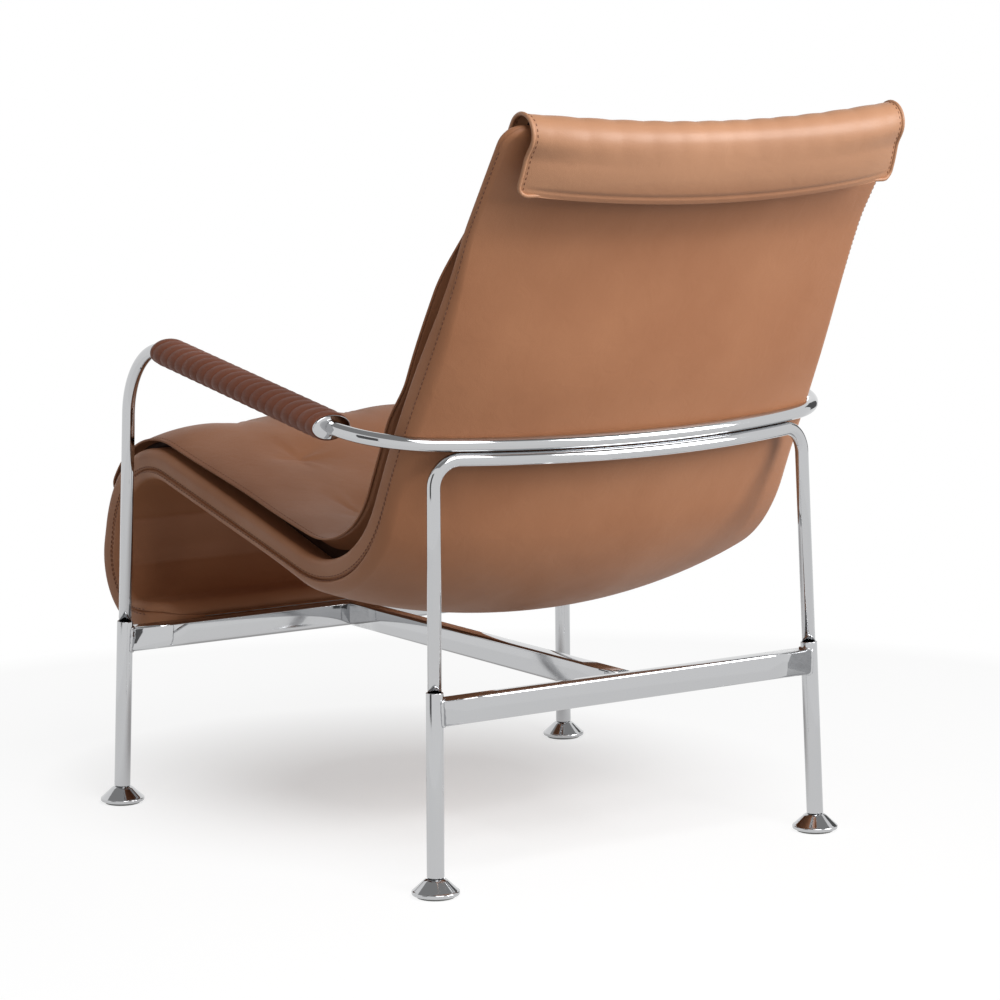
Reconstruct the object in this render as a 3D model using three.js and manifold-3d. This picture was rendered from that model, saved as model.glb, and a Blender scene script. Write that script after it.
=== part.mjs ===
// Lounge chair on four splayed chromed legs: an upholstered one-piece shell with a loose leather pad,
// held between a front rail and a hoop that runs on into both arms.
// Millimetres, +Z up, the sitter faces -Y. The origin is on the floor, under the middle of the chair.
import * as THREE from 'three';
import { mergeVertices } from 'three/addons/utils/BufferGeometryUtils.js';
import Module from 'manifold-3d';

const wasm = await Module();
wasm.setup();

// Fits
const seatGap = 0.3;              // between two pieces that sit against each other
const cutOverrun = 5;             // how far a cutter runs past what it cuts

// Under-frame
const frontLegClearance = 97;     // front leg axes apart at the height of the rails, over the shell's width
const rearLegInset = 33;          // rear leg axes apart there, under the shell's width
const legDepthSpacing = 610;      // front to rear leg axes, at the height of the rails
const railCentreHeight = 208;
const sideSplayShare = 0.0267;    // how far a leg leans outwards for its height
const depthSplayShare = 0.0321;   // how far it leans to the front or the rear for its height
const lowerTubeDiameter = 20;
const lowerTubeTop = 231;         // height of the step where the thin tube comes out
const upperTubeDiameter = 16;
const upperTubeWall = 1.5;
const tubeInsertDepth = 45;       // length of thin tube inside the lower tube
const tubeEndChamfer = 0.8;
const railHeight = 31;
const railThickness = 20;
const railWall = 2;
const beamWidth = 20;

// Levelling feet
const footDiameter = 54.6;
const footRimHeight = 5;
const footRimChamfer = 1.2;
const footConeHeight = 13.2;
const footLift = 3;               // underside of the rim above the floor
const glideDiameter = 44;
const glideRecess = 1.5;
const glideChamfer = 1;
const stemDiameter = 9.4;
const stemLength = 30;
const plugLength = 28;
const legFootGap = 0.8;           // between the foot and the slanting end of the leg
const coneTopMargin = 0.4;        // the cone's top is this much wider than the leg

// Hoop, arms and rear bow
const hoopRearHeight = 502;       // tube centre at the middle of the back
const hoopFallShare = 0.139;      // fall of the hoop and arms to the rear
const hoopBowRadius = 835;
const hoopCornerRadius = 110;
const armClearance = 87;          // arm tube axes apart where the arms meet the hoop, over the shell's width
const armBendRadius = 88;
const rearBendRadius = 32;
const hoopEndSetback = 1;         // straight run of the hoop before its corner

// Arm pads
const armPadWidth = 51;
const armPadHeight = 34;
const armPadLead = 6;             // how far the pad starts before the end of the bend
const armNoseLength = 14;         // rounded nose of smooth leather, up to the first turn
const armSmoothRear = 16;
const armTurns = 20;              // turns of the leather strip
const armLeather = 2.6;
const armGrooveDepth = 1.5;
const armDiscWidth = 48;
const armDiscHeight = 28;
const armDiscThickness = 4;
const armNoseShare = 0.76;        // size of the pad's nose against its full section
const armTailShare = 0.93;        // the same at its end, against the disc

// Shell
const shellWidth = 567;
const shellThickness = 38;
const shellHeadThickness = 16;
const shellThickDrop = 232;       // the shell is full down from here, under its top
const shellThinDrop = 80;         // and at its head thickness from here up
const curlCornerReach = 143;      // corner of the front and the curl, before the front leg axes
const seatCornerReach = 95;       // corner of the seat and the front, before the front leg axes
const shellCurlDrop = 222;        // from the corner of the seat down to the curl on the front rail
const shellCurlRadius = 68;
const seatOverRails = 239;        // corner of the seat over the middle of the rails
const seatFallShare = 0.237;
const seatFrontRadius = 118;
const bucketRadius = 160;
const backLeanShare = 0.505;
const headLeanShare = 0.67;
const headBreakDrop = 118;        // from the top down to the bend under the head
const headBreakRadius = 260;
const shellTopHeight = 866;
const shellHeadNarrowing = 15;    // how much narrower the shell is at its top
const shellNarrowDrop = 226;      // from the top down to where the back starts to draw in
const shellBowShare = 0.827;      // bow of the back at the hoop, of the hoop's own bow over that width
const shellBowBucket = 47;        // the same at the lowest part of the seat
const shellBowTop = 22;           // the same at the top edge
const shellEdgeRadius = 8;
const shellSideSwell = 1.5;       // how far the side walls swell past their seam
const shellTopCornerRadius = 27;
const shellFrontCornerRadius = 46;
const coreThickness = 9;
const coreInset = 30;
const coreEndInset = 34;
const shellEdgeFall = 3;          // how far the back of the shell draws in towards its sides
const shellEndRounding = 12;      // length over which the ends of the shell round off
const edgeShare = 0.4;            // most of the half thickness that the edge rounding may take

// Loose pad, heights over the face of the shell
const padNarrowing = 17;          // how much narrower the pad is than the shell
const padHeadNarrowing = 59;      // the same at the head
const padNarrowDrop = 166;        // from the top down to where the pad starts to draw in
const padHeadDrop = 76;           // and down to where it has its head width
const padFrontAngle = 25;         // degrees over the horizontal where the pad ends at the front
const padEdgeFront = 6;
const padEdgeKnee = 6;
const padEdgeCrest = 8;
const padEdgeSeat = 18;
const padEdgeBucket = 24;
const padEdgeBack = 11;
const padEdgeHead = 8;
const padEdgeTop = 4;
const padDeepShare = 0.23;        // share of the back up to which the pad's side stays deep
const padEasedShare = 0.42;       // share of the back by which it has eased
const padCrownFront = 6;
const padCrownKnee = 20;
const padCrownCrest = 24;
const padCrownSeat = 15;
const padCrownBack = 14;
const padCrownTop = 1;
const padCrownPower = 10;         // how square the pad's cross-section is
const padTuckIn = 12;             // how far the underside draws in from the side seam
const padEndHeight = 4;
const padBury = 3;                // the pad is drawn this deep in the shell, then cut back to its face
const foldSteps = 5;
const foldDepth = 8;              // the fold turns about a line this far under the shell's top
const foldLift = 3.5;             // how far the fold stands off the shell's top edge
const flapShares = [0.12, 0.3, 0.55, 0.8, 0.94, 1];
const flapLength = 64;
const flapSpread = 16;            // degrees by which the flap hangs steeper than the shell
const flapEdge = 10;
const flapCrown = 10;
const flapFlare = 7;              // how much wider the flap is near its lower edge
const tuftDepth = 8;
const tuftRadius = 42;
const tuftColumns = 3;
const tuftSpacing = 150;
const tuftMargin = 110;           // first row of tufts from the front end of the pad

// Front carrier and fixings
const carrierThickness = 3;
const carrierLength = 420;
const carrierLip = 34;
const carrierScrewInset = 60;     // from the ends of the carrier to its screws
const screwDiameter = 6;
const screwHeadDiameter = 12;
const screwHeadHeight = 3;
const studSpacing = 240;
const studDiameter = 6;
const holeClearance = 0.4;

// Smoothness of the round faces
const tubeSides = 14;
const boreSides = 10;
const latheSides = 28;
const hiddenSides = 14;
const bendSteps = 9;
const bowSteps = 9;
const shellBendSteps = [5, 6, 6, 2];
const armRingPoints = 10;
const ringsPerTurn = 3;

// Sizes that follow
const upperTubeRadius = upperTubeDiameter / 2;
const lowerTubeRadius = lowerTubeDiameter / 2;
const lowerTubeBore = upperTubeRadius + seatGap;
const footTop = footLift + footRimHeight + footConeHeight;
const lowerTubeFoot = footTop + legFootGap;
const railTop = railCentreHeight + railHeight / 2;
const railBottom = railCentreHeight - railHeight / 2;
const frontLegSpacing = shellWidth + frontLegClearance;
const rearLegSpacing = shellWidth - rearLegInset;
const armSpacing = shellWidth + armClearance;
const shellBow = shellBowShare * bowSetback(shellWidth / 2);
const shellHeadWidth = shellWidth - shellHeadNarrowing;
const padWidth = shellWidth - padNarrowing;
const padHeadWidth = shellWidth - padHeadNarrowing;
const carrierScrewSpacing = carrierLength - 2 * carrierScrewInset;
const seatCornerHeight = railCentreHeight + seatOverRails;
const shellCurlHeight = seatCornerHeight - shellCurlDrop;
const headBreakHeight = shellTopHeight - headBreakDrop;

// Colours
const chrome = { color: 0xc9ccd0, metalness: 1, roughness: 0.12 };
const darkPlastic = { color: 0x2a2a2c, metalness: 0, roughness: 0.6 };
const zincSteel = { color: 0x9a9da0, metalness: 1, roughness: 0.4 };
const shellLeather = { color: 0x9b6a4c, metalness: 0, roughness: 0.5 };
const padLeather = { color: 0x875d46, metalness: 0, roughness: 0.5 };
const armHide = { color: 0x6e4031, metalness: 0, roughness: 0.55 };
const foam = { color: 0xd9cfae, metalness: 0, roughness: 0.9 };
const plywood = { color: 0xc2a377, metalness: 0, roughness: 0.7 };

const chair = new THREE.Group();

function add(name, geometry, look) {
  const mesh = new THREE.Mesh(geometry, new THREE.MeshStandardMaterial(look));
  mesh.name = name;
  chair.add(mesh);
  return mesh;
}

// Solids
function weld(geometry) {
  const bare = geometry.clone();
  bare.deleteAttribute('normal');
  bare.deleteAttribute('uv');
  return mergeVertices(bare, seatGap / 1000);
}

function solidOf(geometry) {
  const welded = weld(geometry);
  const mesh = new wasm.Mesh({
    numProp: 3,
    vertProperties: new Float32Array(welded.attributes.position.array),
    triVerts: new Uint32Array(welded.index.array),
  });
  return new wasm.Manifold(mesh);
}

function geometryOf(solid) {
  const mesh = solid.getMesh();
  const geometry = new THREE.BufferGeometry();
  geometry.setAttribute('position', new THREE.BufferAttribute(new Float32Array(mesh.vertProperties), 3));
  geometry.setIndex(new THREE.BufferAttribute(new Uint32Array(mesh.triVerts), 1));
  return geometry;
}

function volumeOf(positions, index) {
  const a = new THREE.Vector3();
  const b = new THREE.Vector3();
  const c = new THREE.Vector3();
  let total = 0;
  for (let i = 0; i < index.length; i += 3) {
    a.copy(positions[index[i]]);
    b.copy(positions[index[i + 1]]);
    c.copy(positions[index[i + 2]]);
    total += a.dot(b.cross(c));
  }
  return total;
}

// A closed skin over rings of points. With closed set, the last ring joins the first and no end is capped.
// Otherwise each end is capped between the first half of its ring and the second half, point for point.
function loft(rings, closed = false) {
  const around = rings[0].length;
  const points = rings.flat();
  const index = [];
  const spans = closed ? rings.length : rings.length - 1;
  for (let i = 0; i < spans; i += 1) {
    const here = i * around;
    const next = ((i + 1) % rings.length) * around;
    for (let j = 0; j < around; j += 1) {
      const k = (j + 1) % around;
      index.push(here + j, next + j, next + k);
      index.push(here + j, next + k, here + k);
    }
  }
  if (!closed) {
    const last = (rings.length - 1) * around;
    for (let j = 0; j < around / 2 - 1; j += 1) {
      const k = around - 1 - j;
      index.push(j, j + 1, k - 1, j, k - 1, k);
      index.push(last + j, last + k - 1, last + j + 1, last + j, last + k, last + k - 1);
    }
  }
  if (volumeOf(points, index) < 0) {
    index.reverse();
  }
  const geometry = new THREE.BufferGeometry().setFromPoints(points);
  geometry.setIndex(index);
  return geometry;
}

// Paths
class StationPath extends THREE.Curve {
  constructor(stations) {
    super();
    this.stations = stations;
  }

  mix(t, key, target) {
    const place = t * (this.stations.length - 1);
    const i = Math.min(Math.floor(place), this.stations.length - 2);
    return target.lerpVectors(this.stations[i][key], this.stations[i + 1][key], place - i);
  }

  getPoint(t, target = new THREE.Vector3()) {
    return this.mix(t, 'point', target);
  }

  getPointAt(t, target) {
    return this.getPoint(t, target);
  }

  getTangent(t, target = new THREE.Vector3()) {
    return this.mix(t, 'tangent', target).normalize();
  }

  getTangentAt(t, target) {
    return this.getTangent(t, target);
  }
}

// Straight runs between corners, each corner rounded to its radius
function roundedPath(corners, radii, stepCounts = radii.map(() => bendSteps)) {
  const stations = [];
  const push = (point, tangent) => stations.push({ point, tangent: tangent.clone().normalize() });
  const first = corners[1].clone().sub(corners[0]);
  push(corners[0].clone(), first);
  for (let i = 1; i < corners.length - 1; i += 1) {
    const arriving = corners[i].clone().sub(corners[i - 1]).normalize();
    const leaving = corners[i + 1].clone().sub(corners[i]).normalize();
    const turn = arriving.angleTo(leaving);
    const reach = radii[i - 1] * Math.tan(turn / 2);
    const start = corners[i].clone().addScaledVector(arriving, -reach);
    const inward = leaving.clone().sub(arriving).normalize();
    const centre = corners[i].clone().addScaledVector(inward, radii[i - 1] / Math.cos(turn / 2));
    const spoke = start.clone().sub(centre);
    const axis = new THREE.Vector3().crossVectors(arriving, leaving).normalize();
    const steps = stepCounts[i - 1];
    for (let k = 0; k <= steps; k += 1) {
      const angle = (turn * k) / steps;
      const point = spoke.clone().applyAxisAngle(axis, angle).add(centre);
      push(point, arriving.clone().applyAxisAngle(axis, angle));
    }
  }
  const last = corners.length - 1;
  push(corners[last].clone(), corners[last].clone().sub(corners[last - 1]));
  return stations;
}

function circle(radius, sides) {
  const points = [];
  for (let i = 0; i < sides; i += 1) {
    const angle = (2 * Math.PI * i) / sides;
    points.push(new THREE.Vector2(radius * Math.cos(angle), radius * Math.sin(angle)));
  }
  return points;
}

function rodAlong(section, stations) {
  const path = new StationPath(stations);
  return new THREE.ExtrudeGeometry(section, { steps: stations.length - 1, extrudePath: path });
}

function tubeAlong(stations) {
  const section = new THREE.Shape(circle(upperTubeRadius, tubeSides));
  section.holes.push(new THREE.Path(circle(upperTubeRadius - upperTubeWall, boreSides).reverse()));
  return rodAlong(section, stations);
}

// What has to stay free round such a tube
function tubeSpace(stations) {
  return solidOf(rodAlong(new THREE.Shape(circle(upperTubeRadius + seatGap, tubeSides)), stations));
}

function cylinderBetween(from, to, radius, sides = latheSides) {
  const run = to.clone().sub(from);
  const geometry = new THREE.CylinderGeometry(radius, radius, run.length(), sides);
  const up = new THREE.Vector3(0, 1, 0);
  geometry.applyQuaternion(new THREE.Quaternion().setFromUnitVectors(up, run.clone().normalize()));
  const middle = from.clone().add(to).multiplyScalar(0.5);
  geometry.translate(middle.x, middle.y, middle.z);
  return geometry;
}

function turned(profile, sides = latheSides) {
  const geometry = new THREE.LatheGeometry(profile.map(([r, h]) => new THREE.Vector2(r, h)), sides);
  geometry.rotateX(Math.PI / 2);
  return geometry;
}

// Legs
const corners = [
  { name: 'front_left', side: 1, end: -1, spacing: frontLegSpacing },
  { name: 'front_right', side: -1, end: -1, spacing: frontLegSpacing },
  { name: 'rear_left', side: 1, end: 1, spacing: rearLegSpacing },
  { name: 'rear_right', side: -1, end: 1, spacing: rearLegSpacing },
];

function legPoint(corner, height) {
  const below = railCentreHeight - height;
  return new THREE.Vector3(
    corner.side * (corner.spacing / 2 + sideSplayShare * below),
    corner.end * (legDepthSpacing / 2 + depthSplayShare * below),
    height,
  );
}

function legTurn(corner) {
  const along = legPoint(corner, lowerTubeTop).sub(legPoint(corner, 0)).normalize();
  return new THREE.Quaternion().setFromUnitVectors(new THREE.Vector3(0, 0, 1), along);
}

function lowerTube(corner) {
  const length = legPoint(corner, lowerTubeTop).distanceTo(legPoint(corner, lowerTubeFoot));
  const profile = [
    [lowerTubeBore, 0],
    [lowerTubeRadius, 0],
    [lowerTubeRadius, length - tubeEndChamfer],
    [lowerTubeRadius - tubeEndChamfer, length],
    [lowerTubeBore, length],
    [lowerTubeBore, 0],
  ];
  return turned(profile);
}

function legPlug() {
  const bore = stemDiameter / 2 + seatGap;
  const outside = lowerTubeBore - seatGap;
  const profile = [
    [bore, 0],
    [outside, 0],
    [outside, plugLength],
    [bore, plugLength],
    [bore, 0],
  ];
  return turned(profile, hiddenSides);
}

function foot(corner) {
  const rim = footDiameter / 2;
  const recess = glideDiameter / 2 + seatGap;
  const profile = [
    [0, footLift + glideRecess],
    [recess, footLift + glideRecess],
    [recess, footLift],
    [rim - footRimChamfer, footLift],
    [rim, footLift + footRimChamfer],
    [rim, footLift + footRimHeight - footRimChamfer],
    [rim - footRimChamfer, footLift + footRimHeight],
    [lowerTubeRadius + coneTopMargin, footTop],
    [0, footTop],
  ];
  const centre = legPoint(corner, 0);
  const disc = turned(profile);
  const sunk = footTop - footConeHeight / 2;
  const foothold = legPoint(corner, footTop);
  disc.translate(foothold.x, foothold.y, centre.z);
  const stem = cylinderBetween(
    legPoint(corner, sunk),
    legPoint(corner, footTop + stemLength),
    stemDiameter / 2,
    hiddenSides,
  );
  return geometryOf(solidOf(disc).add(solidOf(stem)));
}

function glide() {
  const radius = glideDiameter / 2;
  const height = footLift + glideRecess - seatGap;
  const profile = [
    [0, 0],
    [radius - glideChamfer, 0],
    [radius, glideChamfer],
    [radius, height],
    [0, height],
  ];
  return turned(profile);
}

for (const corner of corners) {
  const tube = add(`leg_tube_${corner.name}`, lowerTube(corner), chrome);
  tube.position.copy(legPoint(corner, lowerTubeFoot));
  tube.quaternion.copy(legTurn(corner));
  const plug = add(`leg_plug_${corner.name}`, legPlug(), zincSteel);
  plug.position.copy(legPoint(corner, lowerTubeFoot));
  plug.quaternion.copy(legTurn(corner));
  add(`foot_${corner.name}`, foot(corner), chrome);
  const pad = add(`foot_glide_${corner.name}`, glide(), darkPlastic);
  const foothold = legPoint(corner, footTop);
  pad.position.set(foothold.x, foothold.y, 0);
}

// Rails and beam
function hollowBar(width, height, length) {
  const rectangle = (w, h) => [
    new THREE.Vector2(-w / 2, -h / 2),
    new THREE.Vector2(w / 2, -h / 2),
    new THREE.Vector2(w / 2, h / 2),
    new THREE.Vector2(-w / 2, h / 2),
  ];
  const section = new THREE.Shape(rectangle(width, height));
  section.holes.push(new THREE.Path(rectangle(width - 2 * railWall, height - 2 * railWall).reverse()));
  const bar = new THREE.ExtrudeGeometry(section, { depth: length, bevelEnabled: false });
  bar.translate(0, 0, -length / 2);
  return bar;
}

// A rail ends in two mouths that fit round the legs
function crossRail(end) {
  const pair = corners.filter((corner) => corner.end === end);
  const bar = hollowBar(railThickness, railHeight, pair[0].spacing);
  bar.rotateX(Math.PI / 2);
  bar.rotateZ(Math.PI / 2);
  bar.translate(0, (end * legDepthSpacing) / 2, railCentreHeight);
  let rail = solidOf(bar);
  for (const corner of pair) {
    const cutter = cylinderBetween(
      legPoint(corner, railBottom - cutOverrun),
      legPoint(corner, railTop + cutOverrun),
      lowerTubeRadius + seatGap,
    );
    rail = rail.subtract(solidOf(cutter));
  }
  return geometryOf(rail);
}

function centreBeam() {
  const length = legDepthSpacing - railThickness - 2 * seatGap;
  const bar = hollowBar(beamWidth, railHeight, length);
  bar.rotateX(Math.PI / 2);
  bar.translate(0, 0, railCentreHeight);
  return bar;
}

add('front_rail', crossRail(-1), chrome);
add('rear_rail', crossRail(1), chrome);
add('centre_beam', centreBeam(), chrome);

// Plan of the hoop: a shallow bow behind the back with a round corner on each side
const rearLeft = corners[2];
const frontLeft = corners[0];

function bowSetback(x) {
  return hoopBowRadius - Math.sqrt(hoopBowRadius ** 2 - x ** 2);
}

const legAtHoop = legPoint(rearLeft, hoopRearHeight);
const hoopRear = legAtHoop.y + bowSetback(legAtHoop.x);
const bowCentre = hoopRear - hoopBowRadius;
const cornerCentreX = armSpacing / 2 - hoopCornerRadius;
const cornerRun = hoopBowRadius - hoopCornerRadius;
const cornerCentreY = bowCentre + Math.sqrt(cornerRun ** 2 - cornerCentreX ** 2);
const hoopEndY = cornerCentreY - hoopEndSetback;

function hoopHeight(y) {
  return hoopRearHeight + hoopFallShare * (hoopRear - y);
}

function onHoop(x, y, dx, dy, drop = 0) {
  return {
    point: new THREE.Vector3(x, y, hoopHeight(y) - drop),
    tangent: new THREE.Vector3(dx, dy, -hoopFallShare * dy).normalize(),
  };
}

function bowStations(fromAngle, toAngle, steps, drop) {
  const stations = [];
  for (let i = 0; i <= steps; i += 1) {
    const angle = fromAngle + ((toAngle - fromAngle) * i) / steps;
    const x = hoopBowRadius * Math.sin(angle);
    const y = bowCentre + hoopBowRadius * Math.cos(angle);
    const way = Math.sign(toAngle - fromAngle);
    stations.push(onHoop(x, y, way * Math.cos(angle), -way * Math.sin(angle), drop));
  }
  return stations;
}

function backLoop() {
  const bowAngle = Math.atan2(cornerCentreX, cornerCentreY - bowCentre);
  const cornerTurn = Math.PI / 2 - bowAngle;
  const right = [];
  const left = [];
  for (let i = 0; i < bendSteps; i += 1) {
    const angle = (cornerTurn * i) / bendSteps;
    const x = cornerCentreX + hoopCornerRadius * Math.cos(angle);
    const y = cornerCentreY + hoopCornerRadius * Math.sin(angle);
    left.push(onHoop(x, y, -Math.sin(angle), Math.cos(angle)));
    right.unshift(onHoop(-x, y, -Math.sin(angle), -Math.cos(angle)));
  }
  const start = onHoop(armSpacing / 2, hoopEndY, 0, 1);
  const finish = onHoop(-armSpacing / 2, hoopEndY, 0, -1);
  const rear = bowStations(bowAngle, -bowAngle, bowSteps);
  return [start, ...left, ...rear, ...right, finish];
}

const hoopSpace = tubeSpace(backLoop());
add('back_loop_tube', tubeAlong(backLoop()), chrome);

// The rear bow hangs under the hoop and turns down into both rear legs
function rearBow() {
  const drop = (upperTubeDiameter + seatGap) * Math.sqrt(1 + hoopFallShare ** 2);
  const cornerHeight = hoopHeight(legAtHoop.y) - drop;
  const cornerPoint = legPoint(rearLeft, cornerHeight);
  const bottom = legPoint(rearLeft, lowerTubeTop - tubeInsertDepth);
  const turnShare = rearBendRadius / hoopBowRadius;
  const bowAngle = Math.asin(cornerPoint.x / hoopBowRadius) - turnShare;
  const bow = bowStations(bowAngle, -bowAngle, bowSteps, drop);
  const radius = rearBendRadius * cornerShare(cornerPoint, bottom, bow[0].point);
  const joined = roundedPath([bottom, cornerPoint, bow[0].point], [radius]);
  const left = joined.slice(0, -1);
  const right = left.map((station) => ({
    point: station.point.clone().multiply(new THREE.Vector3(-1, 1, 1)),
    tangent: station.tangent.clone().multiply(new THREE.Vector3(1, -1, -1)),
  }));
  return [...left, ...bow.slice(1, -1), ...right.reverse()];
}

// The bend takes as much of its radius as its shorter run leaves
function cornerShare(corner, before, after) {
  const arriving = corner.clone().sub(before).normalize();
  const leaving = after.clone().sub(corner).normalize();
  const reach = rearBendRadius * Math.tan(arriving.angleTo(leaving) / 2);
  return Math.min(1, corner.distanceTo(after) / reach);
}

add('rear_u_tube', tubeAlong(rearBow()), chrome);

// Arms
const armCornerHeight = (hoopRearHeight
  + hoopFallShare * (hoopRear + legDepthSpacing / 2 + depthSplayShare * railCentreHeight))
  / (1 + hoopFallShare * depthSplayShare);

function armStations() {
  const bottom = legPoint(frontLeft, lowerTubeTop - tubeInsertDepth);
  const corner = legPoint(frontLeft, armCornerHeight);
  const rear = onHoop(armSpacing / 2, hoopEndY - seatGap, 0, 1).point;
  return roundedPath([bottom, corner, rear], [armBendRadius]);
}

const armPath = armStations();
const armRear = armPath[armPath.length - 1];
const armBendEnd = armPath[armPath.length - 2];
const armAhead = armRear.tangent;

// Distance along the arm is counted from the end of the bend, negative on the bend's last step
function armStation(distance) {
  if (distance >= 0) {
    return { point: armBendEnd.point.clone().addScaledVector(armAhead, distance), tangent: armAhead.clone() };
  }
  const before = armPath[armPath.length - 3];
  const share = -distance / before.point.distanceTo(armBendEnd.point);
  return {
    point: armBendEnd.point.clone().lerp(before.point, share),
    tangent: armAhead.clone().lerp(before.tangent, share).normalize(),
  };
}

function ovalRing(station, halfWidth, halfHeight, count, bulge = () => 1) {
  const across = new THREE.Vector3(0, 0, 1).cross(station.tangent).normalize();
  const upward = station.tangent.clone().cross(across).normalize();
  const ring = [];
  for (let i = 0; i < count; i += 1) {
    const angle = (2 * Math.PI * i) / count;
    const size = bulge(angle);
    ring.push(station.point.clone()
      .addScaledVector(across, halfWidth * Math.cos(angle) * size)
      .addScaledVector(upward, halfHeight * Math.sin(angle) * size));
  }
  return ring;
}

const armStraight = armBendEnd.point.distanceTo(armRear.point);
const armPadStart = -armPadLead;
const armPadEnd = armStraight - armDiscThickness - seatGap;
const armTurnsStart = armPadStart + armNoseLength;
const armTurnsEnd = armPadEnd - armSmoothRear;
const armPitch = (armTurnsEnd - armTurnsStart) / armTurns;
const armStops = [armPadStart, 0, armTurnsEnd, armPadEnd];

// Both ends of the pad round off to a share of its full section
function armPadShare(distance) {
  const nose = Math.min(1, (distance - armPadStart) / armNoseLength);
  const tail = Math.min(1, (armPadEnd - distance) / armSmoothRear);
  const atNose = armNoseShare + (1 - armNoseShare) * Math.sqrt(1 - (1 - nose) ** 2);
  const atTail = armTailShare + (1 - armTailShare) * Math.sqrt(1 - (1 - tail) ** 2);
  return atNose * atTail;
}

// Size of the pad under its leather
function armUnderLeather(distance, gap) {
  const size = armPadShare(distance);
  return [(armPadWidth / 2) * size - armLeather - gap, (armPadHeight / 2) * size - armLeather - gap];
}

// The strip is wound in one helix, so its grooves climb along the arm as they go round it
function armWrap() {
  const halfWidth = armPadWidth / 2;
  const halfHeight = armPadHeight / 2;
  const ringAt = (distance, size, groove) => ovalRing(
    armStation(distance), halfWidth * size, halfHeight * size, armRingPoints, groove,
  );
  const noseStops = [armPadStart, armPadStart + armNoseLength / 9, 0];
  const outer = noseStops.map((distance) => ringAt(distance, armPadShare(distance)));
  const count = armTurns * ringsPerTurn;
  for (let i = 0; i <= count; i += 1) {
    const turns = i / ringsPerTurn;
    const fade = Math.min(1, turns, armTurns - turns);
    const groove = (angle) => {
      const phase = 2 * Math.PI * turns - angle;
      return 1 - (armGrooveDepth * fade * (1 + Math.cos(phase))) / 2 / halfHeight;
    };
    outer.push(ringAt(armTurnsStart + turns * armPitch, 1, groove));
  }
  for (const distance of [armPadEnd - armSmoothRear / 4, armPadEnd]) {
    outer.push(ringAt(distance, armPadShare(distance)));
  }
  const inner = armStops.map(
    (distance) => ovalRing(armStation(distance), ...armUnderLeather(distance, 0), armRingPoints),
  );
  return loft([...outer, ...inner.reverse()], true);
}

function armCore() {
  const bore = (upperTubeRadius + seatGap) / Math.cos(Math.PI / armRingPoints);
  const outer = armStops.map(
    (distance) => ovalRing(armStation(distance), ...armUnderLeather(distance, seatGap), armRingPoints),
  );
  const inner = armStops.map((distance) => ovalRing(armStation(distance), bore, bore, armRingPoints));
  return loft([...outer, ...inner.reverse()], true);
}

// A polished oval plate closes the rear end of each arm pad, and the tube runs through it
function armDisc() {
  const ovalSides = 36;
  const oval = [];
  for (let i = 0; i < ovalSides; i += 1) {
    const angle = (2 * Math.PI * i) / ovalSides;
    oval.push(new THREE.Vector2((armDiscWidth / 2) * Math.cos(angle), (armDiscHeight / 2) * Math.sin(angle)));
  }
  const plate = new THREE.Shape(oval);
  plate.holes.push(new THREE.Path(circle(upperTubeRadius + seatGap, tubeSides + 4).reverse()));
  const geometry = new THREE.ExtrudeGeometry(plate, { depth: armDiscThickness, bevelEnabled: false });
  const across = new THREE.Vector3(0, 0, 1).cross(armAhead).normalize();
  const upward = armAhead.clone().cross(across).normalize();
  const turn = new THREE.Matrix4().makeBasis(across, upward, across.clone().cross(upward));
  geometry.applyMatrix4(turn);
  const back = across.clone().cross(upward);
  const place = armRear.point.clone();
  const lean = back.dot(armAhead) > 0 ? -armDiscThickness : 0;
  place.addScaledVector(back, lean);
  geometry.translate(place.x, place.y, place.z);
  return geometry;
}

// The right side is the left side seen in a mirror
function mirrored(geometry) {
  const flat = geometry.index ? geometry.toNonIndexed() : geometry.clone();
  flat.deleteAttribute('uv');
  flat.deleteAttribute('normal');
  const position = flat.attributes.position;
  const copy = new Float32Array(position.array.length);
  for (let i = 0; i < position.count; i += 3) {
    for (const [from, to] of [[0, 0], [1, 2], [2, 1]]) {
      copy[(i + to) * 3] = -position.getX(i + from);
      copy[(i + to) * 3 + 1] = position.getY(i + from);
      copy[(i + to) * 3 + 2] = position.getZ(i + from);
    }
  }
  const result = new THREE.BufferGeometry();
  result.setAttribute('position', new THREE.BufferAttribute(copy, 3));
  return result;
}

function addPair(name, geometry, look) {
  add(`${name}_left`, geometry, look);
  add(`${name}_right`, mirrored(geometry), look);
}

addPair('arm_tube', tubeAlong(armPath), chrome);
addPair('arm_wrap', armWrap(), armHide);
addPair('arm_core', armCore(), foam);
addPair('arm_end_disc', armDisc(), chrome);

// Side line of the shell: up from the front rail, over the knee, along the seat and up the back
const curlCornerY = -legDepthSpacing / 2 - curlCornerReach;
const seatCornerY = -legDepthSpacing / 2 - seatCornerReach;
const frontLean = Math.atan2(seatCornerY - curlCornerY, seatCornerHeight - shellCurlHeight);
const shellEndY = -legDepthSpacing / 2 - railThickness / 2 - carrierThickness - 2 * seatGap;
const backCos = 1 / Math.sqrt(1 + backLeanShare ** 2);
const backReach = (shellThickness / 2 + shellBow) / backCos;
const backLineY = hoopRear - (upperTubeRadius + seatGap) / backCos - backReach;

function seatLine(y) {
  return seatCornerHeight - seatFallShare * (y - seatCornerY);
}

function backLine(height) {
  return backLineY + backLeanShare * (height - hoopRearHeight);
}

function bucketCorner() {
  const heightAtZero = seatLine(0);
  const height = (heightAtZero - seatFallShare * (backLineY - backLeanShare * hoopRearHeight))
    / (1 + seatFallShare * backLeanShare);
  return new THREE.Vector3(0, backLine(height), height);
}

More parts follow.
